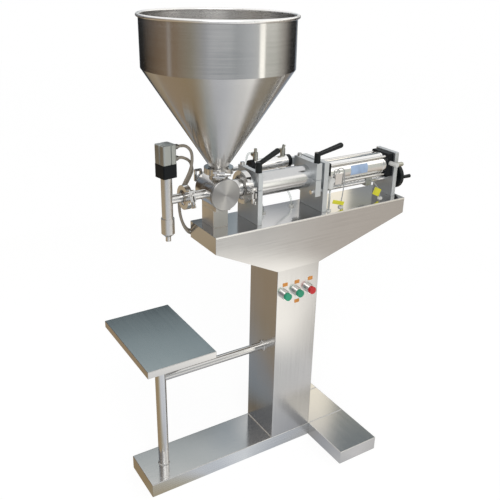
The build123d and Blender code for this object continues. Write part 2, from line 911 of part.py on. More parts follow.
def clamp_lever(x, turn):
    """Moulded hub and handle with a steel stud below."""
    base = clamp_top + running_gap
    radius = lever_hub_diameter / 2
    hub = Pos(0, 0, lever_hub_height / 2) * Cone(radius, radius - edge_break, lever_hub_height)
    root_height = lever_hub_height - lever_root_radius
    length = sqrt(lever_length**2 + lever_rise**2)
    along = Plane(origin=(0, 0, root_height), x_dir=(0, 1, 0), z_dir=(lever_length, 0, lever_rise))
    handle = Pos(0, 0, length / 2) * Cone(lever_root_radius, lever_tip_radius, length)
    handle += Pos(0, 0, length) * Sphere(lever_tip_radius)
    lever = Pos(x, -stud_y, base) * Rot(0, 0, turn) * (hub + placed(along, handle))
    stud = rod_z(stud_diameter / 2, (axis_z - stud_depth + loose_gap, base), x, -stud_y)
    return group([lever, stud])


def product_cylinder():
    pipe = flanged_pipe(barrel_bore, barrel_radius, cylinder_flange, block_right - cylinder_joint_x)
    return placed(cylinder_joint, pipe)


seal_places = (piston_left + seal_inset, piston_right - seal_inset - seal_width)


def seal_ring(left, gap):
    span = (left, left + seal_width)
    ring = rod_x(barrel_bore / 2 - gap, span, 0, axis_z)
    return ring - rod_x(barrel_bore / 2 - loose_gap - seal_depth, span, 0, axis_z)


def product_piston():
    piston = rod_x(barrel_bore / 2 - loose_gap, (piston_left, piston_right), 0, axis_z)
    for left in seal_places:
        piston -= seal_ring(left, 0)
    socket = (piston_right - rod_spigot_length, piston_right)
    return piston - rod_x(rod_spigot_diameter / 2, socket, 0, axis_z)


def piston_seals():
    return group([seal_ring(left, running_gap) for left in seal_places])


def piston_rod():
    bar = rod_x(rod_diameter / 2, (piston_right, air_piston_left), 0, axis_z)
    spigots = (piston_right - rod_spigot_length, air_piston_left + rod_spigot_length)
    return bar + rod_x(rod_spigot_diameter / 2, spigots, 0, axis_z)


def rod_bush():
    bush = rod_x(bush_flange_diameter / 2, (block_right, air_front_left), 0, axis_z)
    bush += rod_x(barrel_bore / 2 - running_gap, (block_right - bush_spigot, block_right), 0, axis_z)
    bore = (block_right - bush_spigot, air_front_left)
    return bush - rod_x(rod_diameter / 2 + running_gap, bore, 0, axis_z)


# Air cylinder

tie_places = [
    (y, axis_z + z) for y in both(2 * tie_rod_offset) for z in both(2 * tie_rod_offset)
]


def air_cylinder_front_plate():
    x = (air_front_left, air_front_right)
    plate = broken(slab(x, both(plate_depth), (deck_height, clamp_top)))
    plate -= rod_x(rod_diameter / 2 + rod_hole_room, x, 0, axis_z)
    for y in (-stud_y, stud_y):
        plate -= rod_x(stud_diameter / 2 + running_gap, x, y, block_bolt_z)
    plate -= rod_y(stud_diameter / 2 + running_gap, bracket_screw_y, bracket_screw_x, actuator_z)
    seat = (air_front_right - screw_seat, air_front_right)
    return plate - rod_x(screw_diameter / 2 + running_gap, seat, 0, screw_z)


def air_cylinder_rear_plate():
    x = (air_rear_left, air_rear_right)
    plate = broken(slab(x, both(rear_plate_depth), (deck_height, clamp_top - rear_plate_drop)))
    return plate - rod_x(screw_diameter / 2 + running_gap, x, 0, screw_z)


def cylinder_head(outer_x, inner_x, step):
    """Square head from its plate to the tube, with nut pockets and a spigot in the tube."""
    x = sorted((outer_x, inner_x))
    head = slab(x, both(2 * head_half), (axis_z - head_half, axis_z + head_half))
    head = fillet(head.edges().filter_by(Axis.X), 2 * fold_radius)
    spigot = sorted((inner_x, inner_x + step * head_spigot))
    pocket = sorted((outer_x, outer_x + step * tie_nut_pocket))
    head += rod_x(air_bore / 2 - running_gap, spigot, 0, axis_z)
    for y, z in tie_places:
        head -= rod_x(tie_rod_diameter / 2 + running_gap, x, y, z)
        head -= rod_x(tie_nut_across / sqrt(3) + tie_nut_room, pocket, y, z)
    return head


def air_cylinder_heads():
    front = cylinder_head(air_front_right, tube_left, 1)
    front -= rod_x(rod_diameter / 2 + running_gap, (air_front_right, tube_left + head_spigot), 0, axis_z)
    return group([front, cylinder_head(air_rear_left, tube_right, -1)])


def air_cylinder_tube():
    """Tube with a collar at each head."""
    span = (tube_left, tube_right)
    tube = rod_x(air_tube_radius, span, 0, axis_z)
    front_collar = (tube_left, tube_left + tube_collar_length)
    rear_collar = (tube_right - tube_collar_length, tube_right)
    for collar in (front_collar, rear_collar):
        tube += rod_x(air_tube_radius + tube_collar_step, collar, 0, axis_z)
    return tube - rod_x(air_bore / 2, span, 0, axis_z)


def tie_nut(x, y, z):
    outline = RegularPolygon(tie_nut_across / sqrt(3), 6) - Circle(tie_rod_diameter / 2 + running_gap)
    return Pos(x, y, z) * Rot(0, 90, 0) * extrude(outline, tie_nut_height)


def tie_rods():
    solids = []
    front_seat = air_front_right + tie_nut_pocket - tie_nut_height
    rear_seat = air_rear_left - tie_nut_pocket
    for y, z in tie_places:
        solids.append(rod_x(tie_rod_diameter / 2, (front_seat, rear_seat + tie_nut_height), y, z))
        solids.append(tie_nut(front_seat, y, z))
        solids.append(tie_nut(rear_seat, y, z))
    return group(solids)


def air_piston():
    piston = rod_x(air_bore / 2 - loose_gap, (air_piston_left, air_piston_right), 0, axis_z)
    socket = (air_piston_left, air_piston_left + rod_spigot_length)
    return piston - rod_x(rod_spigot_diameter / 2, socket, 0, axis_z)


# Volume adjuster

wheel_left = air_rear_right + wheel_gap
wheel_right = wheel_left + wheel_thickness
grip_y = -grip_circle / 2
grip_left = wheel_right + loose_gap
grip_right = grip_left + grip_length
carriage_x = air_rear_left - carriage_from_rear


def lead_screw():
    inner_end = air_front_right - screw_seat + loose_gap
    screw = rod_x(screw_diameter / 2, (inner_end, wheel_right - loose_gap), 0, screw_z)
    inner = (air_rear_left - loose_gap - screw_collar_length, air_rear_left - loose_gap)
    outer = (air_rear_right + loose_gap, air_rear_right + loose_gap + screw_collar_length)
    for span in (inner, outer):
        screw += rod_x(screw_collar_diameter / 2, span, 0, screw_z)
    return screw


def handwheel():
    rim = wheel_diameter / 2
    inner_rim = rim - wheel_rim_width
    hub = wheel_hub_diameter / 2
    hub_left = air_rear_right + loose_gap + screw_collar_length - wheel_left
    bore = screw_diameter / 2 + running_gap
    web_left, web_right = around(wheel_thickness / 2, wheel_web)
    soft = 2 * edge_break
    profile = turned(
        [
            (bore, hub_left),
            (hub, hub_left),
            (hub, web_left),
            (inner_rim, web_left),
            (inner_rim, soft),
            (inner_rim + soft, 0),
            (rim - soft, 0),
            (rim, soft),
            (rim, wheel_thickness - soft),
            (rim - soft, wheel_thickness),
            (inner_rim + soft, wheel_thickness),
            (inner_rim, wheel_thickness - soft),
            (inner_rim, web_right),
            (hub, web_right),
            (hub, wheel_thickness),
            (bore, wheel_thickness),
        ]
    )
    wheel = Pos(wheel_left, 0, screw_z) * Rot(0, 90, 0) * profile
    pin_x = (wheel_right - wheel_web, grip_right + grip_pin_overhang)
    pin = rod_x(grip_pin_diameter / 2, pin_x, grip_y, screw_z)
    boss = rod_x(grip_diameter / 2, (wheel_left + web_left, wheel_right), grip_y, screw_z)
    return wheel + boss + pin


def handwheel_grip():
    radius = grip_diameter / 2
    shape = Rot(0, 90, 0) * Cone(radius - edge_break, radius, grip_length)
    shape = fillet(shape.edges(), edge_break)
    shape = Pos(grip_left + grip_length / 2, grip_y, screw_z) * shape
    return shape - rod_x(grip_pin_diameter / 2 + running_gap, (grip_left, grip_right), grip_y, screw_z)


def switch_carriage():
    x = around(carriage_x, carriage_length)
    top = screw_z + carriage_rise
    block = broken(slab(x, both(carriage_depth), (screw_z - carriage_drop, top)))
    block -= rod_x(screw_diameter / 2 + running_gap, x, 0, screw_z)
    sensor_top = axis_z - air_tube_radius - loose_gap
    return block + slab(around(carriage_x, switch_length), both(switch_depth), (top, sensor_top))


def reed_switch():
    """Switch held against the tube by a strap round the lower front tie rod."""
    tie_z = axis_z - tie_rod_offset
    x = (tube_left + switch_inset, tube_left + switch_inset + switch_length)
    tie_radius = tie_rod_diameter / 2
    strap = rod_x(tie_radius + switch_strap, x, -tie_rod_offset, tie_z)
    strap -= rod_x(air_tube_radius + loose_gap, x, 0, axis_z)
    back = -air_tube_radius - loose_gap
    body = slab(x, (back - switch_depth, back), (tie_z, axis_z + switch_depth / 2))
    return strap + body - rod_x(tie_radius + running_gap, x, -tie_rod_offset, tie_z)


# Valve actuator

swing = radians(crank_swing)
pin_x = valve_x - crank_radius * sin(swing)
pin_z = axis_z + crank_radius * cos(swing)
pin_rise = crank_radius * (1 - cos(swing))
rod_nut_radius = actuator_rod_diameter / 2 + rod_nut_step
actuator_radius = actuator_bore / 2 + actuator_wall
actuator_y = max(plate_depth / 2 + actuator_plate_room, crank_rear + rod_nut_radius + crank_room)
actuator_z = pin_z + pin_rise / 2
actuator_left = valve_x + actuator_front
actuator_right = actuator_left + actuator_length
actuator_cap_right = actuator_left + actuator_cap
yoke_y = around(actuator_y, yoke_thickness)
bracket_front = plate_depth / 2
lug_front = bracket_front + bracket_thickness
lug_rear = lug_front + actuator_lug_thickness
pivot_x = actuator_right + actuator_lug_length / 2
bracket_screw_x = (air_front_left + air_front_right) / 2
bracket_screw_y = (bracket_front - bracket_screw_depth, bracket_front)


def valve_crank():
    y = (crank_front, crank_rear)
    hub = rod_y(crank_hub_diameter / 2, y, valve_x, axis_z)
    eye = rod_y(crank_eye_diameter / 2, y, pin_x, pin_z)
    arm = slab(both(crank_eye_diameter), y, (0, crank_radius))
    arm = Pos(valve_x, 0, axis_z) * Rot(0, -crank_swing, 0) * arm
    pin = rod_y(crank_pin_diameter / 2, (crank_rear, yoke_y[1] + crank_pin_overhang), pin_x, pin_z)
    bore = rod_y(valve_shaft_diameter / 2, y, valve_x, axis_z)
    return hub + eye + arm + pin - bore


def actuator_rod():
    """Slotted yoke, rod with its nut, and piston of the small cylinder."""
    slot_half = crank_pin_diameter / 2 + yoke_side_room
    slot_rise = crank_pin_diameter / 2 + pin_rise / 2 + yoke_height_room
    yoke_end = pin_x + slot_half + yoke_wall
    yoke_z = around(actuator_z, 2 * (slot_rise + yoke_wall))
    yoke = slab(around(pin_x, 2 * (slot_half + yoke_wall)), yoke_y, yoke_z)
    yoke = fillet(yoke.edges().filter_by(Axis.Y), fold_radius)
    yoke -= slab(around(pin_x, 2 * slot_half), yoke_y, around(actuator_z, 2 * slot_rise))
    head_left = actuator_cap_right + loose_gap
    head_x = (head_left, head_left + actuator_piston_length)
    rod = rod_x(actuator_rod_diameter / 2, (yoke_end, head_left), actuator_y, actuator_z)
    rod += rod_x(rod_nut_radius, (yoke_end, yoke_end + actuator_rod_diameter), actuator_y, actuator_z)
    return yoke + rod + rod_x(actuator_bore / 2 - loose_gap, head_x, actuator_y, actuator_z)


def pivot_hole():
    return rod_y(pivot_bolt_diameter / 2 + running_gap, (bracket_front, lug_rear), pivot_x, actuator_z)


def actuator_barrel():
    barrel = rod_x(actuator_radius, (actuator_left, actuator_right), actuator_y, actuator_z)
    rear_cap_left = actuator_right - actuator_cap
    for cap in ((actuator_left, actuator_cap_right), (rear_cap_left, actuator_right)):
        barrel += rod_x(actuator_radius + edge_break, cap, actuator_y, actuator_z)
    barrel -= rod_x(actuator_bore / 2, (actuator_cap_right, rear_cap_left), actuator_y, actuator_z)
    hole = (actuator_left, actuator_cap_right)
    barrel -= rod_x(actuator_rod_diameter / 2 + running_gap, hole, actuator_y, actuator_z)
    lug_x = (actuator_right, actuator_right + actuator_lug_length)
    return barrel + slab(lug_x, (lug_front, lug_rear), around(actuator_z, bracket_height)) - pivot_hole()


def actuator_bracket():
    x = (actuator_right + bracket_end_gap, air_front_right)
    bar = slab(x, (bracket_front, lug_front), around(actuator_z, bracket_height))
    hole = rod_y(stud_diameter / 2 + running_gap, (bracket_front, lug_front), bracket_screw_x, actuator_z)
    return bar - pivot_hole() - hole


def fasteners():
    """Pins, swing bolts and wing nuts of the rings, clamp screws, spacers and bracket bolts."""
    solids = []
    for plane, bore, flange in pipe_joints:
        solids += [placed(plane, piece) for piece in clamp_parts(flange)["hardware"]]
    head = screw_head_diameter / 2
    shank = stud_diameter / 2
    for x in (sum(front_x) / 2, sum(block_x) / 2):
        screw = rod_z(shank, (axis_z - stud_depth + loose_gap, clamp_top), x, stud_y)
        solids.append(screw + rod_z(head, (clamp_top, clamp_top + screw_head_height), x, stud_y))
    for y in (-stud_y, stud_y):
        bolt = rod_x(shank, (block_left, air_front_right - loose_gap), y, block_bolt_z)
        solids.append(bolt + rod_x(head, (block_left - screw_head_height, block_left), y, block_bolt_z))
        gap = (block_right, air_front_left)
        spacer = rod_x(head, gap, y, block_bolt_z)
        solids.append(spacer - rod_x(shank + running_gap, gap, y, block_bolt_z))
    pivot = rod_y(pivot_bolt_diameter / 2, (bracket_front, lug_rear), pivot_x, actuator_z)
    solids.append(pivot + rod_y(head, (lug_rear, lug_rear + screw_head_height), pivot_x, actuator_z))
    screw_y = (bracket_front - bracket_screw_depth + loose_gap, lug_front)
    screw = rod_y(shank, screw_y, bracket_screw_x, actuator_z)
    screw += rod_y(head, (lug_front, lug_front + screw_head_height), bracket_screw_x, actuator_z)
    return group(solids + [screw])


# Air lines and cables: diameter and route above the deck, each from its fitting to its far end

nozzle_port_end = nozzle_cylinder_size / 2 + nozzle_fitting_length
upper_port_z = nozzle_cylinder_end - nozzle_port_top
lower_port_z = adapter_top + nozzle_port_base


def nozzle_side(reach, z):
    """Point out from the nozzle's axis on the side where the hoses leave."""
    turn = radians(nozzle_turn)
    return (nozzle_x + reach * cos(turn), reach * sin(turn), z)


routes_above_deck = {
    "nozzle_hose_upper": (
        nozzle_hose_diameter,
        [
            nozzle_side(nozzle_port_end, upper_port_z - deck_height),
            nozzle_side(nozzle_port_end + nozzle_hose_lead, upper_port_z - deck_height),
            (-324, 12, 238),
            (-310, 16, 228),
            (-302, 18.5, 215),
            (-300, 20, 201),
            (-300, 22, 184),
            (-303, 27, 165),
            (-307.5, 35, 145),
            (-313, 43, 127),
            (-319, 50, 107),
            (-323, 54, 87),
            (-324.5, 56, 70),
            (-324, 57, 53),
            (-322, 58, 35),
            (-317, 60, 15),
            (-308, 65, -7),
            (-296, 73, -25),
            (-283, 81, -40),
            (-268, 88, -47),
        ],
    ),
    "nozzle_hose_lower": (
        nozzle_hose_diameter,
        [
            nozzle_side(nozzle_port_end, lower_port_z - deck_height),
            nozzle_side(nozzle_port_end + nozzle_hose_lead, lower_port_z - deck_height),
            (-325, 15, 204),
            (-311, 26, 196),
            (-298, 35, 185),
            (-291, 41, 171),
            (-287, 46, 156),
            (-291, 52, 139),
            (-298, 57, 122),
            (-306, 62, 102),
            (-312, 66, 82),
            (-316, 69, 64),
            (-317, 71, 47),
            (-314.5, 73, 29),
            (-309, 76, 8),
            (-300, 80, -12),
            (-288, 86, -28),
            (-276, 93, -36),
            (-262, 98, -40),
            (-248, 101, -41),
        ],
    ),
    "actuator_hose_front": (
        air_hose_diameter,
        [
            (-68, 90, 163.7),
            (-68, 103, 163.7),
            (-69, 114, 156),
            (-70, 119, 140),
            (-71, 118, 117),
            (-71, 107, 90),
            (-70, 84, 66),
            (-68, 58, 46),
            (-67, 38, 31),
            (-66, 26, 14),
            (-66, 26, -4),
        ],
    ),
    "actuator_hose_rear": (
        air_hose_diameter,
        [
            (28, 90, 163.7),
            (28, 103, 163.7),
            (29, 114, 156),
            (31, 119, 140),
            (33, 118, 117),
            (36, 107, 90),
            (39, 86, 66),
            (41, 62, 47),
            (42, 44, 31),
            (42, 34, 14),
            (42, 34, -4),
        ],
    ),
    "cylinder_hose_front": (
        air_hose_diameter,
        [
            (116.5, -53, 67),
            (116.5, -53, 54),
            (116, -53.5, 40),
            (115, -54, 26),
            (114.5, -54, 11),
            (114.5, -54, -4),
        ],
    ),
    "switch_cable_front": (
        cable_diameter,
        [
            (150, -38, 106),
            (150, -38, 110.5),
            (151.6, -38.8, 116.5),
            (156, -40, 121),
            (162, -41.2, 122.5),
            (168, -42.5, 121),
            (172.4, -43.8, 116.5),
            (174, -45, 109),
            (174.3, -46, 97),
            (174, -46.8, 75),
            (172, -47.3, 51),
            (169, -47.2, 29),
            (167.5, -46, 12),
            (167.5, -46, -4),
        ],
    ),
    "switch_cable_rear": (
        cable_diameter,
        [
            (308, -14.3, 54),
            (308, -20.5, 54),
            (309.5, -26.5, 52),
            (313, -32, 47),
            (318.5, -36.5, 38.5),
            (324.5, -39.5, 27),
            (330, -41, 11),
            (330, -41, -4),
        ],
    ),
}
hose_routes = {
    name: (diameter, [(x, y, deck_height + rise) for x, y, rise in points])
    for name, (diameter, points) in routes_above_deck.items()
}
bulkhead_lines = ("nozzle_hose_upper", "nozzle_hose_lower")
deck_lines = [name for name in hose_routes if name not in bulkhead_lines]


def deck_exits():
    """Places where a line goes through its grommet in the deck, with the grommet's bore radius."""
    exits = []
    for name in deck_lines:
        diameter, points = hose_routes[name]
        x, y, z = points[-1]
        exits.append((x, y, diameter / 2 + loose_gap))
    return exits


def hose(name):
    """Round line of straight runs with an arc as large as its runs allow at every corner."""
    diameter, route = hose_routes[name]
    points = [Vector(*point) for point in route]
    runs = [end - start for start, end in zip(points, points[1:])]
    radii = []
    for before, after in zip(runs, runs[1:]):
        half_turn = radians(before.get_angle(after)) / 2
        radii.append(arc_share * min(before.length, after.length) / tan(half_turn))
    path = FilletPolyline(*points, radius=radii)
    tube = sweep(Plane(origin=path @ 0, z_dir=path % 0) * Circle(diameter / 2), path=path)
    section = Circle(diameter / 2).area
    print(name, "radii", [round(radius) for radius in radii])
    ratio = tube.volume / section / path.length
    print(name, "length", round(path.length, 1), "volume ratio", round(ratio, 4))
    return tube


def spigot(radius, start, direction, length):
    """Round bar from a point in any direction."""
    bar = Cylinder(radius, length, align=(Align.CENTER, Align.CENTER, Align.MIN))
    return placed(Plane(origin=start, z_dir=direction), bar)


def fitting(start, direction, length, radius=fitting_radius):
    """Straight push-in fitting from its thread to its collar."""
    body = spigot(radius, start, direction, length - fitting_collar_length)
    return body + spigot(fitting_collar_radius, start, direction, length)


def nozzle_fittings():
    outwards = Vector(*nozzle_side(1, 0)) - Vector(nozzle_x, 0, 0)
    starts = [nozzle_side(nozzle_cylinder_size / 2, z) for z in (upper_port_z, lower_port_z)]
    return [fitting(start, outwards, nozzle_fitting_length) for start in starts]


def bulkhead_fittings():
    """Elbows in the rear wall of the body, each turned towards its hose."""
    solids = []
    for end, inwards, corner in bulkhead_places():
        thread = (half_width - 2 * sheet, corner.Y + bulkhead_radius)
        elbow = rod_y(bulkhead_radius, thread, corner.X, corner.Z)
        solids.append(elbow + spigot(bulkhead_neck_radius, end, inwards, bulkhead_neck))
    return solids


def actuator_elbows():
    """Flow controls on the small cylinder, each with its knob above."""
    solids = []
    outlet_z = actuator_z + actuator_radius + elbow_rise
    front = (actuator_left + elbow_front_inset, 0)
    rear = (actuator_right - elbow_rear_inset, radians(elbow_rear_lean))
    for x, lean in (front, rear):
        stem = rod_z(elbow_stem_radius, (actuator_z, outlet_z + fitting_radius + elbow_crown), x, actuator_y)
        stem -= rod_x(actuator_radius, around(x, 2 * elbow_stem_radius), actuator_y, actuator_z)
        outlet = fitting((x, actuator_y, outlet_z), (0, 1, 0), elbow_length)
        knob_start = (x, actuator_y, outlet_z + fitting_radius - elbow_crown)
        knob = spigot(elbow_knob_radius, knob_start, (sin(lean), 0, cos(lean)), elbow_knob_height)
        solids.append(stem + outlet + knob)
    return solids


def cylinder_ports():
    """Elbow on the front head and flow control with its knob on the rear head."""
    front_x = air_front_right + head_length / 2
    rear_x = air_rear_left - head_length / 2
    elbow_y = -head_half - port_reach
    elbow_z = axis_z - port_offset
    elbow = rod_y(port_radius, (elbow_y - port_radius, -head_half), front_x, elbow_z)
    elbow += fitting((front_x, elbow_y, elbow_z), (0, 0, -1), port_drop, port_radius)
    knob_y = -head_half - controller_reach
    knob_z = axis_z + port_offset
    control = rod_y(fitting_radius, (knob_y - fitting_radius, -head_half), rear_x, knob_z)
    control += fitting((rear_x, knob_y, knob_z), (1, 0, 0), controller_knob_length)
    return [elbow, control]


def deck_grommets():
    solids = []
    for x, y, bore in deck_exits():
        collar = turned(
            [
                (bore, deck_underside),
                (bore + grommet_wall, deck_underside),
                (bore + grommet_wall, deck_height),
                (grommet_radius, deck_height),
                (grommet_radius - edge_break, deck_height + grommet_height),
                (bore, deck_height + grommet_height),
            ]
        )
        solids.append(Pos(x, y, 0) * collar)
    return solids


def column_inlets():
    """Air inlet and cable gland in the rear wall of the column."""
    mouth = half_width + inlet_length
    solids = []
    for x in both(inlet_spacing):
        body_y = (half_width - 2 * sheet, mouth)
        inlet = rod_y(inlet_radius, body_y, x, inlet_height)
        inlet += rod_y(inlet_flange_radius, (half_width, half_width + inlet_flange_depth), x, inlet_height)
        inlet -= rod_y(inlet_core_bore / 2, body_y, x, inlet_height)
        solids.append(inlet - rod_y(inlet_bore / 2, (mouth - inlet_bore_depth, mouth), x, inlet_height))
    return solids


def air_fittings():
    lines = nozzle_fittings() + bulkhead_fittings() + actuator_elbows() + cylinder_ports()
    return group(lines + deck_grommets() + column_inlets())


def solenoid_manifold():
    """Valve island on the floor of the body."""
    base = column_top + sheet
    top = base + manifold_height
    solids = [slab(both(3 * solenoid_pitch), both(solenoid_depth), (base, top))]
    for step in (-1, 0, 1):
        x = around(step * solenoid_pitch, solenoid_width)
        solids.append(slab(x, both(solenoid_depth), (top, top + solenoid_height)))
    return group(solids)


front_lower, front_upper = split_clamp(front_x, front_plate_depth, deck_height)
rear_upper = split_clamp(block_x, block_depth, block_base)[1]
left_button, middle_button, right_button = button_places()
jaws = [
    placed(plane, jaw) for plane, bore, flange in pipe_joints for jaw in clamp_parts(flange)["jaws"]
]

nodes = {
    "base_beam": base_beam(),
    "cross_feet": cross_feet(),
    "column": column(),
    "body_box": body_box(),
    "deck_plate": deck_plate(),
    "tray_post": tray_post(),
    "tray_arm": tray_arm(),
    "tray": tray(),
    "button_bodies": group([button_body(x) for x in button_places()]),
    "green_button_left": button_cap(left_button),
    "green_button_right": button_cap(middle_button),
    "red_button": button_cap(right_button),
    "solenoid_manifold": solenoid_manifold(),
    "air_fittings": air_fittings(),
    "pedestal": pedestal(),
    "valve_body": valve_body(),
    "valve_cover": valve_cover(),
    "static_seals": static_seals(),
    "valve_spool": valve_spool(),
    "valve_crank": valve_crank(),
    "hopper": hopper(),
    "clamp_jaws": group(jaws),
    "fasteners": fasteners(),
    "nozzle_body": nozzle_body(),
    "nozzle_tip": nozzle_tip(),
    "nozzle_adapter": nozzle_adapter(),
    "nozzle_air_cylinder": nozzle_air_cylinder(),
    "nozzle_plunger": nozzle_plunger(),
    "front_clamp_plate": front_lower,
    "front_clamp_cap": front_upper,
    "rear_clamp_block": rear_clamp_lower(),
    "rear_clamp_cap": rear_upper,
    "front_clamp_lever": clamp_lever(sum(front_x) / 2, front_lever_turn),
    "rear_clamp_lever": clamp_lever(sum(block_x) / 2, rear_lever_turn),
    "product_cylinder": product_cylinder(),
    "product_piston": product_piston(),
    "piston_seals": piston_seals(),
    "piston_rod": piston_rod(),
    "rod_bush": rod_bush(),
    "air_cylinder_front_plate": air_cylinder_front_plate(),
    "air_cylinder_rear_plate": air_cylinder_rear_plate(),
    "air_cylinder_heads": air_cylinder_heads(),
    "air_cylinder_tube": air_cylinder_tube(),
    "tie_rods": tie_rods(),
    "air_piston": air_piston(),
    "lead_screw": lead_screw(),
    "handwheel": handwheel(),
    "handwheel_grip": handwheel_grip(),
    "switch_carriage": switch_carriage(),
    "reed_switch": reed_switch(),
    "actuator_barrel": actuator_barrel(),
    "actuator_rod": actuator_rod(),
    "actuator_bracket": actuator_bracket(),
}
for name in hose_routes:
    nodes[name] = hose(name)

os.makedirs("parts", exist_ok=True)
for name, shape in nodes.items():
    export_step(shape, f"parts/{name}.step")
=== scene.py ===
"""Looks of a piston filling machine: lines, finishes, small trim, studio and camera, in metres."""
from math import cos, pi, radians, sin, tau

import bpy
from mathutils import Matrix, Vector


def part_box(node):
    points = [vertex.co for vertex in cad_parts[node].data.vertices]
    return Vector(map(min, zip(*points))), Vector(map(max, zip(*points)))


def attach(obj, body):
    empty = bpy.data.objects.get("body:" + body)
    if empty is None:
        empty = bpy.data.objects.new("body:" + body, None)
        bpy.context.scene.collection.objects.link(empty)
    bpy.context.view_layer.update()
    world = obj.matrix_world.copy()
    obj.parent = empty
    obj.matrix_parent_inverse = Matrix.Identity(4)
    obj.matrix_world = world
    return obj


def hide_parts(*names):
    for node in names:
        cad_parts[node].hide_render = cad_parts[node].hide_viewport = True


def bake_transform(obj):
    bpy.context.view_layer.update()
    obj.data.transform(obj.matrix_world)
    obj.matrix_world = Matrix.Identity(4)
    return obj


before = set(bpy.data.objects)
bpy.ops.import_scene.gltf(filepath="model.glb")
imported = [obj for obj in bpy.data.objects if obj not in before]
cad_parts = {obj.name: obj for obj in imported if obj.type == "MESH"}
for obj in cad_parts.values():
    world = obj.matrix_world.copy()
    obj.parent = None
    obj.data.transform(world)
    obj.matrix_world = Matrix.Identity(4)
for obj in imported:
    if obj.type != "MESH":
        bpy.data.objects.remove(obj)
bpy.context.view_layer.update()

# Camera, from the photograph's viewing angle
image_size = 500
focal_pixels = 660.45
sensor_width = 36.0
camera_place = (-1.0731, -1.5027, 1.4820)
camera_yaw = radians(32.23)
camera_pitch = radians(23.73)
camera_roll = radians(1.12)

# Main places, read from the frame
column_low, column_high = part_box("column")
deck_low, deck_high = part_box("deck_plate")
beam_low, beam_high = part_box("base_beam")
foot_low, foot_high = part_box("cross_feet")
post_low, post_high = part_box("tray_post")
arm_low, arm_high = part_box("tray_arm")
tube_low, tube_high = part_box("air_cylinder_tube")
screw_low, screw_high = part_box("lead_screw")
cover_low, cover_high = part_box("valve_cover")
hopper_low, hopper_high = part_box("hopper")
hopper_centre = (hopper_low + hopper_high) / 2
clamp_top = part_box("front_clamp_cap")[1].z

# Lines: diameter, length, stiffness and the route's points
line_routes = {
    "nozzle_hose_upper": (0.008, 0.3526, "medium", (
        (-0.3476, 0.0068, 1.0385), (-0.3377, 0.0085, 1.0385), (-0.324, 0.012, 1.036), (-0.31, 0.016, 1.026),
        (-0.302, 0.0185, 1.013), (-0.3, 0.02, 0.999), (-0.3, 0.022, 0.982), (-0.303, 0.027, 0.963),
        (-0.3075, 0.035, 0.943), (-0.313, 0.043, 0.925), (-0.319, 0.05, 0.905), (-0.323, 0.054, 0.885),
        (-0.3245, 0.056, 0.868), (-0.324, 0.057, 0.851), (-0.322, 0.058, 0.833), (-0.317, 0.06, 0.813),
        (-0.308, 0.065, 0.791), (-0.296, 0.073, 0.773), (-0.283, 0.081, 0.758), (-0.268, 0.088, 0.751))),
    "nozzle_hose_lower": (0.008, 0.3418, "medium", (
        (-0.3476, 0.0068, 1.008), (-0.3377, 0.0085, 1.008), (-0.325, 0.015, 1.002), (-0.311, 0.026, 0.994),
        (-0.298, 0.035, 0.983), (-0.291, 0.041, 0.969), (-0.287, 0.046, 0.954), (-0.291, 0.052, 0.937),
        (-0.298, 0.057, 0.92), (-0.306, 0.062, 0.9), (-0.312, 0.066, 0.88), (-0.316, 0.069, 0.862),
        (-0.317, 0.071, 0.845), (-0.3145, 0.073, 0.827), (-0.309, 0.076, 0.806), (-0.3, 0.08, 0.786),
        (-0.288, 0.086, 0.77), (-0.276, 0.093, 0.762), (-0.262, 0.098, 0.758), (-0.248, 0.101, 0.757))),
    "actuator_hose_front": (0.006, 0.2232, "medium", (
        (-0.068, 0.09, 0.9617), (-0.068, 0.103, 0.9617), (-0.069, 0.114, 0.954), (-0.07, 0.119, 0.938),
        (-0.071, 0.118, 0.915), (-0.071, 0.107, 0.888), (-0.07, 0.084, 0.864), (-0.068, 0.058, 0.844),
        (-0.067, 0.038, 0.829), (-0.066, 0.026, 0.812), (-0.066, 0.026, 0.794))),
    "actuator_hose_rear": (0.006, 0.2183, "medium", (
        (0.028, 0.09, 0.9617), (0.028, 0.103, 0.9617), (0.029, 0.114, 0.954), (0.031, 0.119, 0.938),
        (0.033, 0.118, 0.915), (0.036, 0.107, 0.888), (0.039, 0.086, 0.864), (0.041, 0.062, 0.845),
        (0.042, 0.044, 0.829), (0.042, 0.034, 0.812), (0.042, 0.034, 0.794))),
    "cylinder_hose_front": (0.006, 0.0711, "medium", (
        (0.1165, -0.053, 0.865), (0.1165, -0.053, 0.852), (0.116, -0.0535, 0.838), (0.115, -0.054, 0.824),
        (0.1145, -0.054, 0.809), (0.1145, -0.054, 0.794))),
    "switch_cable_front": (0.003, 0.1567, "limp", (
        (0.150, -0.038, 0.904), (0.150, -0.038, 0.9085), (0.1516, -0.0388, 0.9145),
        (0.156, -0.040, 0.919), (0.162, -0.0412, 0.9205), (0.168, -0.0425, 0.919),
        (0.1724, -0.0438, 0.9145), (0.174, -0.045, 0.907), (0.1743, -0.046, 0.895),
        (0.174, -0.0468, 0.873), (0.172, -0.0473, 0.849), (0.169, -0.0472, 0.827),
        (0.1675, -0.046, 0.810), (0.1675, -0.046, 0.794))),
    "switch_cable_rear": (0.003, 0.0769, "limp", (
        (0.308, -0.0143, 0.852), (0.308, -0.0205, 0.852), (0.3095, -0.0265, 0.850),
        (0.313, -0.032, 0.845), (0.3185, -0.0365, 0.8365), (0.3245, -0.0395, 0.825),
        (0.330, -0.041, 0.809), (0.330, -0.041, 0.794))),
}
moving_line = "switch_cable_rear"
tube_sides = 16
bevel_steps = 5
curve_order = 3
curve_steps = 12

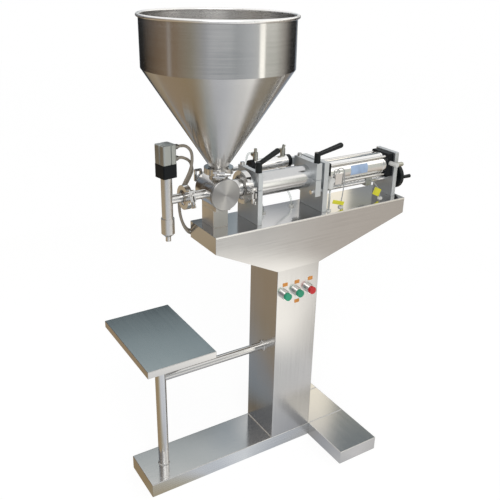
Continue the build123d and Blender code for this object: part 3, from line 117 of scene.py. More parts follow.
# Tones, linear
steel_tone = (0.62, 0.61, 0.595)
bright_tone = (0.70, 0.69, 0.675)
barrel_tone = (0.60, 0.60, 0.60)
tube_tone = (0.90, 0.895, 0.885)
milled_tone = (0.66, 0.685, 0.70)
block_tone = (0.84, 0.80, 0.74)
# painted shade: darker tone for the pedestal's front under the valve
shaded_front_tone = (0.47, 0.465, 0.44)
post_tone = (0.78, 0.78, 0.78)
# painted reflection: darker blue-grey tone on the tray's top
tray_reflection_tone = (0.37, 0.42, 0.43)
# painted reflection: lighter tone on the base beam's front side
rail_lit_tone = (0.80, 0.81, 0.81)
aluminium_tone = (0.47, 0.49, 0.475)
brass_tone = (0.50, 0.49, 0.43)
nickel_tone = (0.30, 0.29, 0.27)
anodised_tone = (0.004, 0.006, 0.008)
moulded_tone = (0.014, 0.017, 0.017)
# painted highlight: lighter tone on the deck's front edge
lip_highlight_tone = (0.93, 0.92, 0.88)
rim_tone = (0.92, 0.91, 0.89)
white_plastic_tone = (0.74, 0.74, 0.71)
grey_hose_tone = (0.33, 0.29, 0.235)
clear_hose_tone = (0.86, 0.89, 0.88)
cable_tone = (0.42, 0.43, 0.43)
seal_tone = (0.62, 0.61, 0.57)
green_tone = (0.030, 0.36, 0.20)
red_tone = (0.62, 0.030, 0.035)
orange_tone = (0.80, 0.33, 0.07)
yellow_tone = (0.80, 0.76, 0.04)
label_tone = (0.42, 0.56, 0.78)
cover_share = 0.70
weld_share = 0.97

# Noise scales per metre: fine across the brush lines, coarse along them
fine, coarse = 420.0, 5.0
grain_x = (coarse, fine, fine)
grain_y = (fine, coarse, fine)
grain_z = (fine, fine, coarse)
hoops_x = (fine, coarse, coarse)
deck_grain = (3.0, 300.0, 300.0)
milled_grain = (300.0, 300.0, 4.0)
drawn_grain = (220.0, 220.0, 5.0)
satin_grain = 140.0
polished_grain = 90.0
plated_grain = 200.0

# A face whose direction has more than this share along an axis is square to it
square_on = 0.9

# Studio sizes and levels
floor_radius = 9.0
floor_drop = 0.001
floor_tone = 0.85
floor_rough = 0.9
floor_share = 0.72
floor_level = 1.17
ambient_level = 0.62
key_place = (-1.3, -2.3, 2.7)
key_target = (-0.05, 0, 0.75)
key_size = 1.8
key_power = 26.0
card_radius = 2.2
card_height = 2.2
card_sides = 96
card_gain = 2.0

# Card colours: by compass angle about the hopper on the wall and in the ground rings,
# by height in the panels behind the object
wall_stops = (
    (-180, (0.25, 0.175, 0.11)), (-157, (0.28, 0.25, 0.18)), (-145, (0.35, 0.345, 0.325)),
    (-134, (0.37, 0.39, 0.42)), (-99, (0.33, 0.36, 0.385)), (-75, (0.53, 0.56, 0.59)),
    (-62, (0.66, 0.68, 0.68)), (-60.5, (1.80, 1.77, 1.64)), (-53.5, (1.80, 1.77, 1.64)),
    (-52, (0.58, 0.59, 0.54)), (-33, (0.56, 0.57, 0.52)), (-16, (0.35, 0.33, 0.30)),
    (-4, (0.11, 0.10, 0.09)), (6, (0.022, 0.022, 0.023)), (95, (0.02, 0.02, 0.02)),
    (110, (0.022, 0.019, 0.015)), (125, (0.085, 0.058, 0.035)), (149, (0.19, 0.125, 0.072)),
    (165, (0.25, 0.175, 0.11)), (170, (0.42, 0.38, 0.35)), (175, (0.25, 0.175, 0.11)),
    (180, (0.25, 0.175, 0.11)),
)
skirt_top, skirt_end = 0.30, 0.50
upper_start, upper_full = 1.28, 1.40
upper_stops = (
    (-180, (0.30, 0.25, 0.20)), (-140, (0.45, 0.46, 0.48)), (-75, (0.56, 0.58, 0.60)),
    (-58, (0.60, 0.61, 0.61)), (-54, (1.40, 1.37, 1.32)), (-38, (1.50, 1.46, 1.40)),
    (-20, (0.70, 0.66, 0.60)), (0, (0.20, 0.19, 0.18)), (95, (0.06, 0.06, 0.07)),
    (116, (0.21, 0.24, 0.28)), (138, (0.22, 0.25, 0.29)), (180, (0.30, 0.25, 0.20)),
)
crown_start, crown_full = 1.70, 2.05
crown_stops = (
    (-180, (0.30, 0.27, 0.24)), (-140, (0.60, 0.60, 0.60)), (-110, (1.60, 1.57, 1.50)),
    (30, (1.60, 1.57, 1.50)), (70, (0.20, 0.20, 0.21)), (150, (0.16, 0.16, 0.17)),
    (180, (0.30, 0.27, 0.24)),
)
rear_share = ((26, 0.0), (30, 1.0), (84, 1.0), (90, 0.0))
rear_panels = (
    (0, 1, ((1.0, (0.30, 0.33, 0.38)), (1.34, (0.30, 0.33, 0.38)), (1.42, (0.42, 0.42, 0.36)),
            (1.52, (0.40, 0.41, 0.36)), (1.60, (0.22, 0.26, 0.29)), (2.0, (0.17, 0.20, 0.22)))),
    (39.3, 40.1, ((0.8, (0.50, 0.55, 0.60)), (1.0, (0.62, 0.62, 0.58)), (1.12, (1.38, 1.30, 1.10)),
                (1.52, (1.34, 1.26, 1.08)), (1.60, (1.10, 1.04, 0.94)), (1.78, (0.95, 0.92, 0.88)),
                (1.88, (0.50, 0.54, 0.57)))),
    (46.5, 48, ((1.0, (0.40, 0.44, 0.48)), (1.30, (0.24, 0.27, 0.30)), (1.56, (0.30, 0.33, 0.37)),
                (1.61, (1.05, 1.05, 1.06)), (1.78, (1.05, 1.05, 1.06)), (1.88, (0.50, 0.56, 0.60)))),
    (55, 58, ((1.0, (0.46, 0.51, 0.56)), (1.25, (0.30, 0.35, 0.38)), (1.50, (0.28, 0.33, 0.36)),
              (1.76, (0.36, 0.42, 0.47)), (1.88, (0.43, 0.50, 0.56)), (2.05, (0.60, 0.66, 0.70)))),
    (60, 64, ((1.55, (0.06, 0.07, 0.08)), (1.68, (0.13, 0.14, 0.15)), (1.78, (0.34, 0.39, 0.41)),
              (1.86, (0.66, 0.72, 0.75)), (1.96, (0.58, 0.64, 0.66)))),
)
ground_rings = (
    (0.0, 0.1, (
        (-180, (0.36, 0.27, 0.16)), (-165, (0.38, 0.32, 0.22)), (-150, (0.46, 0.44, 0.39)),
        (-135, (0.57, 0.585, 0.62)), (-110, (0.57, 0.595, 0.64)), (-80, (0.66, 0.68, 0.72)),
        (-55, (0.72, 0.74, 0.77)), (-25, (0.48, 0.50, 0.54)), (5, (0.36, 0.32, 0.26)),
        (60, (0.20, 0.17, 0.13)), (85, (0.26, 0.30, 0.34)), (103, (0.29, 0.33, 0.38)),
        (113, (0.33, 0.25, 0.17)), (180, (0.36, 0.27, 0.16)))),
    (0.34, 0.46, (
        (-180, (0.36, 0.27, 0.16)), (-165, (0.40, 0.34, 0.24)), (-150, (0.52, 0.50, 0.46)),
        (-135, (0.66, 0.67, 0.70)), (-110, (0.66, 0.68, 0.72)), (-85, (0.72, 0.74, 0.77)),
        (-60, (0.80, 0.81, 0.82)), (-43, (0.74, 0.75, 0.76)), (-34, (0.82, 0.82, 0.84)),
        (-24, (0.62, 0.62, 0.62)), (0, (0.31, 0.27, 0.21)), (60, (0.20, 0.17, 0.13)),
        (85, (0.28, 0.32, 0.37)), (103, (0.31, 0.355, 0.41)), (113, (0.35, 0.27, 0.17)),
        (180, (0.36, 0.27, 0.16)))),
    (0.71, 0.90, (
        (-180, (0.38, 0.29, 0.18)), (-165, (0.42, 0.36, 0.26)), (-150, (0.60, 0.58, 0.54)),
        (-135, (0.80, 0.81, 0.83)), (-110, (0.92, 0.94, 0.97)), (-85, (1.30, 1.28, 1.25)),
        (-46, (1.62, 1.58, 1.50)), (-41, (0.74, 0.72, 0.70)), (-36, (0.36, 0.35, 0.34)),
        (-18, (0.36, 0.31, 0.23)), (0, (0.30, 0.26, 0.20)), (60, (0.20, 0.17, 0.13)),
        (85, (0.28, 0.32, 0.37)), (103, (0.31, 0.355, 0.41)), (113, (0.37, 0.28, 0.18)),
        (125, (0.38, 0.285, 0.185)), (180, (0.38, 0.29, 0.18)))),
    (1.58, 1.75, (
        (-180, (0.46, 0.37, 0.25)), (-165, (0.46, 0.39, 0.28)), (-150, (0.50, 0.48, 0.44)),
        (-135, (0.66, 0.67, 0.70)), (-110, (0.68, 0.70, 0.73)), (-85, (0.71, 0.71, 0.70)),
        (-56, (0.73, 0.72, 0.70)), (-44, (0.66, 0.61, 0.56)), (-20, (0.55, 0.50, 0.44)),
        (0, (0.35, 0.30, 0.25)), (60, (0.22, 0.19, 0.15)), (100, (0.36, 0.29, 0.20)),
        (118, (0.50, 0.41, 0.29)), (180, (0.46, 0.37, 0.25)))),
)


def rgba(colour):
    """A four-number colour from a grey level or three numbers."""
    levels = (colour, colour, colour) if isinstance(colour, (int, float)) else colour
    return (*levels, 1.0)


def scaled(colour, share):
    """A colour made lighter or darker."""
    return tuple(min(level * share, 1.0) for level in colour)


def add_camera():
    """The camera at the photograph's place."""
    data = bpy.data.cameras.new("camera")
    data.sensor_width = sensor_width
    data.lens = sensor_width * focal_pixels / image_size
    camera = bpy.data.objects.new("camera", data)
    aim = Matrix.Rotation(-camera_yaw, 4, "Z") @ Matrix.Rotation(pi / 2 - camera_pitch, 4, "X")
    camera.matrix_world = Matrix.Translation(camera_place) @ aim @ Matrix.Rotation(camera_roll, 4, "Z")
    bpy.context.collection.objects.link(camera)
    bpy.context.scene.camera = camera


def route_curve(name, points):
    """A smooth curve with the route's points as its control points."""
    curve = bpy.data.curves.new(name, "CURVE")
    curve.dimensions = "3D"
    spline = curve.splines.new("NURBS")
    spline.points.add(len(points) - 1)
    for control, point in zip(spline.points, points):
        control.co = (*point, 1.0)
    spline.order_u = curve_order
    spline.use_endpoint_u = True
    spline.resolution_u = curve_steps
    piece = bpy.data.objects.new(name, curve)
    bpy.context.collection.objects.link(piece)
    return piece


def smooth_points(points):
    """Points along the smooth curve of a route."""
    guide = route_curve("guide", points)
    line = bpy.data.meshes.new_from_object(guide)
    found = [vertex.co.copy() for vertex in line.vertices]
    bpy.data.objects.remove(guide)
    return found


def loft(name, rings, closed=False):
    """A mesh skinned over rings of equal count, capped at both ends unless it closes on itself."""
    count = len(rings[0])
    vertices = [point for ring in rings for point in ring]
    spans = len(rings) if closed else len(rings) - 1
    faces = []
    for span in range(spans):
        here = span * count
        there = (span + 1) % len(rings) * count
        for side in range(count):
            after = (side + 1) % count
            faces.append((here + side, here + after, there + after, there + side))
    if not closed:
        faces.append(tuple(reversed(range(count))))
        faces.append(tuple(range(len(vertices) - count, len(vertices))))
    mesh = bpy.data.meshes.new(name)
    mesh.from_pydata([tuple(vertex) for vertex in vertices], [], faces)
    mesh.validate()
    mesh.update()
    return mesh


def tube_rings(points, radius_at, sides=tube_sides, closed=False):
    """Rings square to a line of points; radius_at gives the radius from the distance run."""
    rings = []
    run = 0.0
    side = None
    for index, point in enumerate(points):
        before = points[index - 1] if index or closed else point
        after = points[(index + 1) % len(points)] if closed or index + 1 < len(points) else point
        ahead = (after - before).normalized()
        if side is None:
            side = ahead.orthogonal().normalized()
        side = (side - ahead * side.dot(ahead)).normalized()
        other = ahead.cross(side)
        if index:
            run += (point - points[index - 1]).length
        radius = radius_at(run)
        turns = (tau * step / sides for step in range(sides))
        rings.append([point + (side * cos(turn) + other * sin(turn)) * radius for turn in turns])
    return rings


def shade_smooth(mesh, sharp_angle=radians(40)):
    """Smooth shading that keeps edges sharper than the angle."""
    mesh.shade_smooth()
    mesh.set_sharp_from_angle(angle=sharp_angle)


def new_piece(name, mesh, material, body):
    """A mesh piece with its material, riding on a body."""
    shade_smooth(mesh)
    mesh.materials.append(material)
    piece = bpy.data.objects.new(name, mesh)
    bpy.context.collection.objects.link(piece)
    if body:
        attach(piece, body)
    return piece


# Shader building


def shader(name, constants):
    """A new material with its main shader, and constants set on the shader's own sockets."""
    material = bpy.data.materials.new(name)
    material.use_nodes = True
    tree = material.node_tree
    main = tree.nodes["Principled BSDF"]
    for socket, value in constants.items():
        main.inputs[socket].default_value = value
    return material, tree, main


def add(tree, kind, inputs=None, **settings):
    """A shader node with its settings, and its inputs set or linked."""
    made = tree.nodes.new("ShaderNode" + kind)
    for key, value in settings.items():
        setattr(made, key, value)
    for key, value in (inputs or {}).items():
        if isinstance(value, bpy.types.NodeSocket):
            tree.links.new(value, made.inputs[key])
        else:
            made.inputs[key].default_value = value
    return made


def ramp(tree, factor, stops):
    """Colours by factor; stops are places with their colours, in order."""
    made = add(tree, "ValToRGB", {"Fac": factor})
    elements = made.color_ramp.elements
    elements[0].position = stops[0][0]
    elements[1].position = stops[-1][0]
    elements[0].color = rgba(stops[0][1])
    elements[1].color = rgba(stops[-1][1])
    for place, colour in stops[1:-1]:
        elements.new(place).color = rgba(colour)
    return made.outputs["Color"]


def spread(tree, factor, low, high, start=0.3, end=0.7):
    """A value between low and high as the factor goes from start to end."""
    inputs = {"Value": factor, "From Min": start, "From Max": end, "To Min": low, "To Max": high}
    return add(tree, "MapRange", inputs).outputs["Result"]


def maths(tree, operation, first, second=0.0):
    """One step of arithmetic."""
    return add(tree, "Math", {0: first, 1: second}, operation=operation).outputs["Value"]


def noise(tree, place, scale, detail=3.0):
    """Soft noise; scale is a number or one for each axis, per metre."""
    if not isinstance(scale, (int, float)):
        place = add(tree, "Mapping", {"Vector": place, "Scale": scale}).outputs["Vector"]
        scale = 1.0
    made = add(tree, "TexNoise", {"Vector": place, "Scale": scale, "Detail": detail})
    return made.outputs[0]


def flat_place(tree):
    """Places on the object, in metres."""
    return add(tree, "TexCoord").outputs["Object"]


def round_place(tree, centre, axis):
    """Places about an axis: angle, distance along the axis, radius."""
    moved = add(tree, "VectorMath", {0: flat_place(tree), 1: centre}, operation="SUBTRACT")
    parts = add(tree, "SeparateXYZ", {0: moved.outputs["Vector"]}).outputs
    along = parts[axis]
    across, up = [parts[letter] for letter in "XYZ" if letter != axis]
    angle = maths(tree, "ARCTAN2", up, across)
    flat = add(tree, "CombineXYZ", {0: across, 1: up})
    radius = add(tree, "VectorMath", {0: flat.outputs["Vector"]}, operation="LENGTH").outputs["Value"]
    return add(tree, "CombineXYZ", {0: angle, 1: along, 2: radius}).outputs["Vector"]


def bump(tree, main, height, distance):
    """Surface relief from a height between 0 and 1."""
    made = add(tree, "Bump", {"Height": height, "Distance": distance})
    tree.links.new(made.outputs["Normal"], main.inputs["Normal"])


def metal(name, tone, rough, line_scale, place=flat_place, wave=0.0006, contrast=0.06, constants=None):
    """Metal with brush lines, smudges and the slight wave of sheet; line_scale stretches the lines."""
    line_share, smudge_share = 0.6, 0.4
    smudge_scale, sheet_scale, line_relief = 9.0, 5.0, 0.012
    dark_stop, even_stop, light_stop = 0.30, 0.52, 0.72
    smoother, rougher = 0.8, 1.25
    material, tree, main = shader(name, {"Metallic": 1.0, **(constants or {})})
    lines = noise(tree, place(tree), line_scale, detail=4.0)
    smudges = noise(tree, flat_place(tree), smudge_scale, detail=4.0)
    line_part = maths(tree, "MULTIPLY", lines, line_share)
    mixed = maths(tree, "ADD", line_part, maths(tree, "MULTIPLY", smudges, smudge_share))
    dark, light = scaled(tone, 1 - contrast), scaled(tone, 1 + contrast / 2)
    shades = ((dark_stop, dark), (even_stop, tone), (light_stop, light))
    tree.links.new(ramp(tree, mixed, shades), main.inputs["Base Color"])
    tree.links.new(spread(tree, mixed, rough * smoother, rough * rougher), main.inputs["Roughness"])
    sheet = noise(tree, flat_place(tree), sheet_scale, detail=1.0)
    relief = maths(tree, "MULTIPLY", lines, line_relief)
    bump(tree, main, maths(tree, "ADD", sheet, relief), wave)
    return material


def turned_metal(name, tone, rough, centre, axis, twist=0.25, anisotropic=0.7, rings=260.0):
    """Metal turned or brushed round an axis, whose highlights run across the rings."""
    around_scale, wave, contrast = 1.2, 0.0003, 0.04
    constants = {"Anisotropic": anisotropic, "Anisotropic Rotation": twist}

    def place(tree):
        return round_place(tree, centre, axis)

    material = metal(name, tone, rough, (around_scale, rings, rings), place, wave, contrast, constants)
    tree = material.node_tree
    tangent = add(tree, "Tangent", direction_type="RADIAL", axis=axis)
    tree.links.new(tangent.outputs["Tangent"], tree.nodes["Principled BSDF"].inputs["Tangent"])
    return material


def plastic(name, tone, rough, grain=1400.0, relief=0.00004, constants=None):
    """Moulded plastic or rubber with a fine grain, slight colour change and handling marks."""
    cloud_scale, low_stop, high_stop = 35.0, 0.30, 0.70
    darker, lighter = 0.86, 1.12
    smoother, rougher = 0.8, 1.2
    material, tree, main = shader(name, constants or {})
    where = flat_place(tree)
    cloud = noise(tree, where, cloud_scale, detail=4.0)
    shades = ((low_stop, scaled(tone, darker)), (high_stop, scaled(tone, lighter)))
    tree.links.new(ramp(tree, cloud, shades), main.inputs["Base Color"])
    tree.links.new(spread(tree, cloud, rough * smoother, rough * rougher), main.inputs["Roughness"])
    bump(tree, main, noise(tree, where, grain, detail=2.0), relief)
    return material


def clear_plastic(name, tone, rough):
    """Clear hose with faint draw lines."""
    constants = {"Transmission Weight": 0.85, "IOR": 1.45}
    return plastic(name, tone, rough, grain=400.0, relief=0.00002, constants=constants)


def lens(name, tone):
    """Glossy lens of a push button."""
    constants = {"Specular IOR Level": 0.3}
    return plastic(name, tone, rough=0.22, grain=260.0, relief=0.00003, constants=constants)


def make_finishes():
    """Every finish by name; a metal or plastic has its own name, tone and roughness, then its grain."""
    valve_centre = (cover_low + cover_high) / 2
    cover_tone, weld_tone = scaled(steel_tone, cover_share), scaled(bright_tone, weld_share)
    spun = {"anisotropic": 0.95, "rings": 600.0}
    honed = {"wave": 0.00004, "contrast": 0.04}
    calm = {"wave": 0.0002}
    anodised = {"grain": 900.0, "relief": 0.00002, "constants": {"Specular IOR Level": 0.2}}
    moulded = {"constants": {"Specular IOR Level": 0.25}}
    return {
        "sheet_x": metal("sheet_steel_x", steel_tone, 0.15, grain_x),
        "sheet_y": metal("sheet_steel_y", steel_tone, 0.15, grain_y),
        "sheet_z": metal("sheet_steel_z", steel_tone, 0.22, grain_z),
        # base beam's front side in a lighter tone, a painted reflection
        "rail": metal("rail_side_lit", rail_lit_tone, 0.26, grain_x),
        "deck": metal("deck_sheet", steel_tone, 0.13, deck_grain),
        # deck front edge in a lighter tone, a painted highlight
        "lip": metal("deck_lip_highlight", lip_highlight_tone, 0.30, grain_x),
        "rim": metal("rolled_rim", rim_tone, 0.30, satin_grain, **calm),
        "hopper": turned_metal("spun_steel", steel_tone, 0.20, hopper_centre, "Z", **spun),
        "cover": turned_metal("turned_steel", cover_tone, 0.34, valve_centre, "Y", anisotropic=0.95),
        "barrel": metal("honed_barrel", barrel_tone, 0.17, hoops_x, **honed),
        "tube": metal("polished_tube", tube_tone, 0.12, hoops_x, **honed),
        # tray top in a darker blue-grey tone, a painted reflection
        "tray_top": metal("tray_top_painted_reflection", tray_reflection_tone, 0.20, grain_y, wave=0.0004),
        "ground": metal("milled_steel", milled_tone, 0.52, milled_grain),
        "block": metal("block_steel", block_tone, 0.40, milled_grain),
        # pedestal front in a darker tone, painted shade under the valve
        "block_front": metal("block_front", shaded_front_tone, 0.40, milled_grain),
        "post": metal("post_tube", post_tone, 0.18, grain_z),
        "satin": metal("satin_steel", bright_tone, 0.21, satin_grain, **calm),
        "polished": metal("polished_steel", bright_tone, 0.10, polished_grain, **calm),
        "bright": metal("bright_steel", bright_tone, 0.12, satin_grain, **calm),
        "aluminium": metal("drawn_aluminium", aluminium_tone, 0.42, drawn_grain),
        "brass": metal("plated_brass", brass_tone, 0.28, plated_grain),
        "nickel": metal("plated_nickel", nickel_tone, 0.26, plated_grain),
        "anodised": plastic("black_anodised", anodised_tone, 0.36, **anodised),
        "moulded": plastic("black_moulded", moulded_tone, 0.24, **moulded),
        "white": plastic("white_moulded", white_plastic_tone, 0.40),
        "seal": plastic("seal_rubber", seal_tone, 0.55),
        "green": lens("green_lens", green_tone),
        "red": lens("red_lens", red_tone),
        "grey_hose": plastic("grey_hose", grey_hose_tone, 0.30, grain=300.0, relief=0.00003),
        "clear_hose": clear_plastic("clear_hose", clear_hose_tone, 0.10),
        "cable": plastic("cable_sheath", cable_tone, 0.42, grain=500.0),
        "orange": plastic("orange_tag", orange_tone, 0.45),
        "yellow": plastic("yellow_tag", yellow_tone, 0.45),
        "label": plastic("blank_label", label_tone, 0.35),
        "weld": metal("weld_bead", weld_tone, 0.24, fine, contrast=0.22),
    }


node_finishes = {
    "sheet_x": ("body_box", "tray_arm"),
    "sheet_y": ("cross_feet",),
    "sheet_z": ("column",),
    "post": ("tray_post",),
    "cover": ("valve_cover",),
    "barrel": ("product_cylinder",),
    "tube": ("air_cylinder_tube", "reed_switch"),
    "ground": ("front_clamp_plate", "front_clamp_cap", "rear_clamp_block", "rear_clamp_cap",
               "air_cylinder_front_plate", "air_cylinder_rear_plate", "valve_crank", "actuator_bracket"),
    "satin": ("valve_body", "nozzle_body", "nozzle_tip"),
    "polished": ("clamp_jaws", "fasteners", "valve_spool"),
    "bright": ("button_bodies", "tie_rods", "piston_rod", "actuator_rod", "lead_screw", "nozzle_plunger"),
    "aluminium": ("nozzle_air_cylinder", "air_piston", "switch_carriage"),
    "anodised": ("air_cylinder_heads", "nozzle_adapter", "solenoid_manifold"),
    "moulded": ("handwheel", "handwheel_grip"),
    "white": ("rod_bush", "product_piston"),
    "seal": ("static_seals", "piston_seals"),
    "green": ("green_button_left", "green_button_right"),
    "red": ("red_button",),
    "grey_hose": ("nozzle_hose_upper", "nozzle_hose_lower"),
    "clear_hose": ("actuator_hose_front", "actuator_hose_rear", "cylinder_hose_front"),
    "cable": ("switch_cable_front", "switch_cable_rear"),
}


def paint(node, finishes, choose):
    """A node in several finishes; choose names the finish from a face's centre and direction."""
    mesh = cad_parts[node].data
    mesh.materials.clear()
    names = []
    for face in mesh.polygons:
        name = choose(face.center, face.normal)
        if name not in names:
            names.append(name)
            mesh.materials.append(finishes[name])
        face.material_index = names.index(name)


def deck_finish(place, facing):
    """Bright edge along the front of the deck, a painted highlight."""
    lip_depth = 0.002
    return "lip" if facing.y < -square_on and place.y < deck_low.y + lip_depth else "deck"


def beam_finish(place, facing):
    """Brushed side towards the front, painted lighter as a painted reflection."""
    return "rail" if facing.y < -square_on else "sheet_x"


def tray_finish(place, facing):
    """Duller top, painted a darker blue-grey as a painted reflection."""
    return "tray_top" if facing.z > square_on else "sheet_y"


def pedestal_finish(place, facing):
    """Milled front, painted darker than the sides as painted shade under the valve."""
    return "block_front" if facing.y < -square_on else "block"


def hopper_finish(place, facing):
    """Spun steel with a brighter rolled rim."""
    rim_height = 0.008
    return "rim" if place.z > hopper_high.z - rim_height else "hopper"


def lever_finish(place, facing):
    """Steel stud below the clamp's top, moulded handle above it."""
    return "polished" if place.z < clamp_top else "moulded"


def actuator_finish(place, facing):
    """Bright tube between two dark heads, with a steel lug at the rear."""
    head_length = 0.018
    front, tube_end, lug = -0.088, 0.034, 0.0525
    if place.x > lug:
        return "ground"
    return "anodised" if place.x < front + head_length or place.x > tube_end else "tube"


def fitting_finish(place, facing):
    """White grommets and ports, olive flow controls, plated nozzle fittings, dark column inlets."""
    grommet_height = 0.014
    nozzle_side, cylinder_side, collar_top, knob_start = -0.30, 0.08, 0.8685, 0.3715
    if place.z < column_high.z:
        return "moulded"
    if place.x < nozzle_side or place.z < deck_low.z:
        return "nickel"
    if place.z < deck_high.z + grommet_height:
        return "white"
    if place.x < cylinder_side:
        return "brass"
    return "brass" if place.z < collar_top or place.x > knob_start else "white"


def add_finishes(finishes):
    """Every node's material."""
    for finish, nodes in node_finishes.items():
        for node in nodes:
            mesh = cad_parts[node].data
            mesh.materials.clear()
            mesh.materials.append(finishes[finish])
    for lever in ("front_clamp_lever", "rear_clamp_lever"):
        paint(lever, finishes, lever_finish)
    paint("base_beam", finishes, beam_finish)
    paint("tray", finishes, tray_finish)
    paint("deck_plate", finishes, deck_finish)
    paint("pedestal", finishes, pedestal_finish)
    paint("hopper", finishes, hopper_finish)
    paint("actuator_barrel", finishes, actuator_finish)
    paint("air_fittings", finishes, fitting_finish)


def add_lines(finishes):
    """Hoses and cables on their routes."""
    for name, (diameter, length, stiffness, points) in line_routes.items():
        finish = next(key for key, nodes in node_finishes.items() if name in nodes)
        if name == moving_line:
            path = smooth_points(points)
            mesh = loft(name + "_line", tube_rings(path, lambda run: diameter / 2))
            piece = new_piece(name + "_line", mesh, finishes[finish], None)
            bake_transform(piece)
        else:
            piece = route_curve(name + "_line", points)
            piece.data.bevel_depth = diameter / 2
            piece.data.bevel_resolution = bevel_steps
            piece.data.use_fill_caps = True
            piece.data.materials.append(finishes[finish])
            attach(piece, "root")
        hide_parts(name)


def rounded_outline(width, height, corner, steps=5):
    """Points round a rectangle with rounded corners, about its centre."""
    outline = []
    corners = ((1, 1), (-1, 1), (-1, -1), (1, -1))
    for quarter, (right, up) in enumerate(corners):
        for step in range(steps + 1):
            turn = pi / 2 * (quarter + step / steps)
            across = right * (width / 2 - corner) + corner * cos(turn)
            along = up * (height / 2 - corner) + corner * sin(turn)
            outline.append((across, along))
    return outline


def plate(name, width, height, thickness, corner, to_place):
    """A thin plate with rounded corners and an eased edge; to_place puts its points on the model."""
    ease_share = 0.4
    ease = thickness * ease_share
    outer = rounded_outline(width, height, corner)
    inner = rounded_outline(width - 2 * ease, height - 2 * ease, corner - ease)
    levels = ((outer, 0.0), (outer, thickness - ease), (inner, thickness))
    return loft(name, [[to_place(across, along, lift) for across, along in line] for line, lift in levels])


def add_button_tags(finishes):
    """Blank orange tags beside the push buttons."""
    width, height, thickness, corner = 0.018, 0.012, 0.0006, 0.002
    places = ((-0.047, 0.600), (-0.004, 0.600), (0.045, 0.600), (-0.0013, 0.535))
    for number, (x, z) in enumerate(places, 1):
        def on_column(across, along, lift):
            return Vector((x + across, column_low.y - lift, z + along))

        name = f"button_tag_{number}"
        mesh = plate(name, width, height, thickness, corner, on_column)
        new_piece(name, mesh, finishes["orange"], "root")


def add_cylinder_label(finishes):
    """A blank label wrapped on the front of the air cylinder's tube."""
    centre = (tube_low + tube_high) / 2
    radius, thickness = 0.034, 0.0003
    left, right = 0.209, 0.275
    low_turn, high_turn, steps = radians(-19), radians(31), 24
    outer = radius + thickness
    corners = ((left, radius), (right, radius), (right, outer), (left, outer))
    rings = []
    for step in range(steps + 1):
        turn = low_turn + (high_turn - low_turn) * step / steps
        ring = []
        for x, reach in corners:
            ring.append(Vector((x, centre.y - reach * cos(turn), centre.z + reach * sin(turn))))
        rings.append(ring)
    new_piece("cylinder_label", loft("cylinder_label", rings), finishes["label"], "root")


def add_lead_screw(finishes):
    """The adjuster's screw with its four-start thread between plain ends."""
    lead, starts, depth = 0.010, 4, 0.0011
    thread_start, thread_end = 0.112, 0.372
    sides, steps_per_pitch = 32, 6
    centre = (screw_low + screw_high) / 2
    radius = (screw_high.z - screw_low.z) / 2
    pitch = lead / starts
    count = round((thread_end - thread_start) / pitch * steps_per_pitch)
    fade = 2 * pitch

    def thread_radius(x, turn):
        phase = (x / pitch - starts * turn / tau) % 1.0
        cut = depth * abs(2 * phase - 1)
        edge = min(x - thread_start, thread_end - x)
        return radius - cut * max(0.0, min(1.0, edge / fade))

    rings = []
    places = [thread_start + (thread_end - thread_start) * step / count for step in range(count + 1)]
    for x in (screw_low.x, *places, screw_high.x):
        ring = []
        for side in range(sides):
            turn = tau * side / sides
            reach = thread_radius(x, turn)
            ring.append(Vector((x, centre.y + reach * cos(turn), centre.z + reach * sin(turn))))
        rings.append(ring)
    mesh = loft("lead_screw_thread", rings)
    piece = new_piece("lead_screw_thread", mesh, finishes["bright"], "adjuster")
    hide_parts("lead_screw")


def slotted_outline(half, corner, slot_place, mouth, floor, depth, steps=6):
    """Points round a square with rounded corners and a slot in every side but the one with the ports."""
    inner = half - corner
    slot_start, slot_end = slot_place - mouth / 2, slot_place + mouth / 2
    slot = [(half - depth, slot_place - floor / 2), (half - depth, slot_place + floor / 2)]
    shares = [step / steps for step in range(steps)]
    before = [(half, -inner + (slot_start + inner) * share) for share in shares]
    after = [(half, slot_end + (inner - slot_end) * share) for share in shares]
    turns = [pi / 2 * share for share in shares]
    arc = [(inner + corner * cos(turn), inner + corner * sin(turn)) for turn in turns]
    middle = [(half, slot_start), *slot]
    plain = [(half, slot_start), (half, slot_place)]
    outline = []
    for quarter in range(4):
        side = [*before, *(middle if quarter else plain), *after, *arc]
        ahead, left = cos(pi / 2 * quarter), sin(pi / 2 * quarter)
        outline += [(out * ahead - across * left, out * left + across * ahead) for out, across in side]
    return outline


def add_nozzle_block(finishes):
    """The nozzle's air cylinder with its sensor slots and its bore."""
    half, corner, turned, ease = 0.0205, 0.004, radians(10), 0.0008
    slot_place, mouth, floor, depth = 0.003, 0.004, 0.0022, 0.0022
    wall, head = 0.0035, 0.01
    low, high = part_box("nozzle_air_cylinder")
    centre = (low + high) / 2
    section = slotted_outline(half, corner, slot_place, mouth, floor, depth)
    outline = [Vector((*point, 0)) for point in section]
    bore = [point.normalized() * (half - wall) for point in outline]
    inset = [point * (1 - ease / half) for point in outline]
    spin = Matrix.Rotation(turned, 3, "Z")
    levels = (
        (bore, high.z - head), (bore, low.z), (outline, low.z), (outline, high.z - ease), (inset, high.z),
    )
    rings = [[spin @ point + Vector((centre.x, centre.y, z)) for point in line] for line, z in levels]
    mesh = loft("nozzle_air_block", rings)
    piece = new_piece("nozzle_air_block", mesh, finishes["aluminium"], "root")
    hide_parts("nozzle_air_cylinder")


def bead(name, points, radius, finishes, closed=False):
    """A weld bead with its ripples."""
    ripple, step, sides = 0.12, 0.0042, 8

    def radius_at(run):
        return radius * (1 + ripple * sin(tau * run / step))

    mesh = loft(name, tube_rings(points, radius_at, sides, closed), closed)
    return new_piece(name, mesh, finishes["weld"], "root")


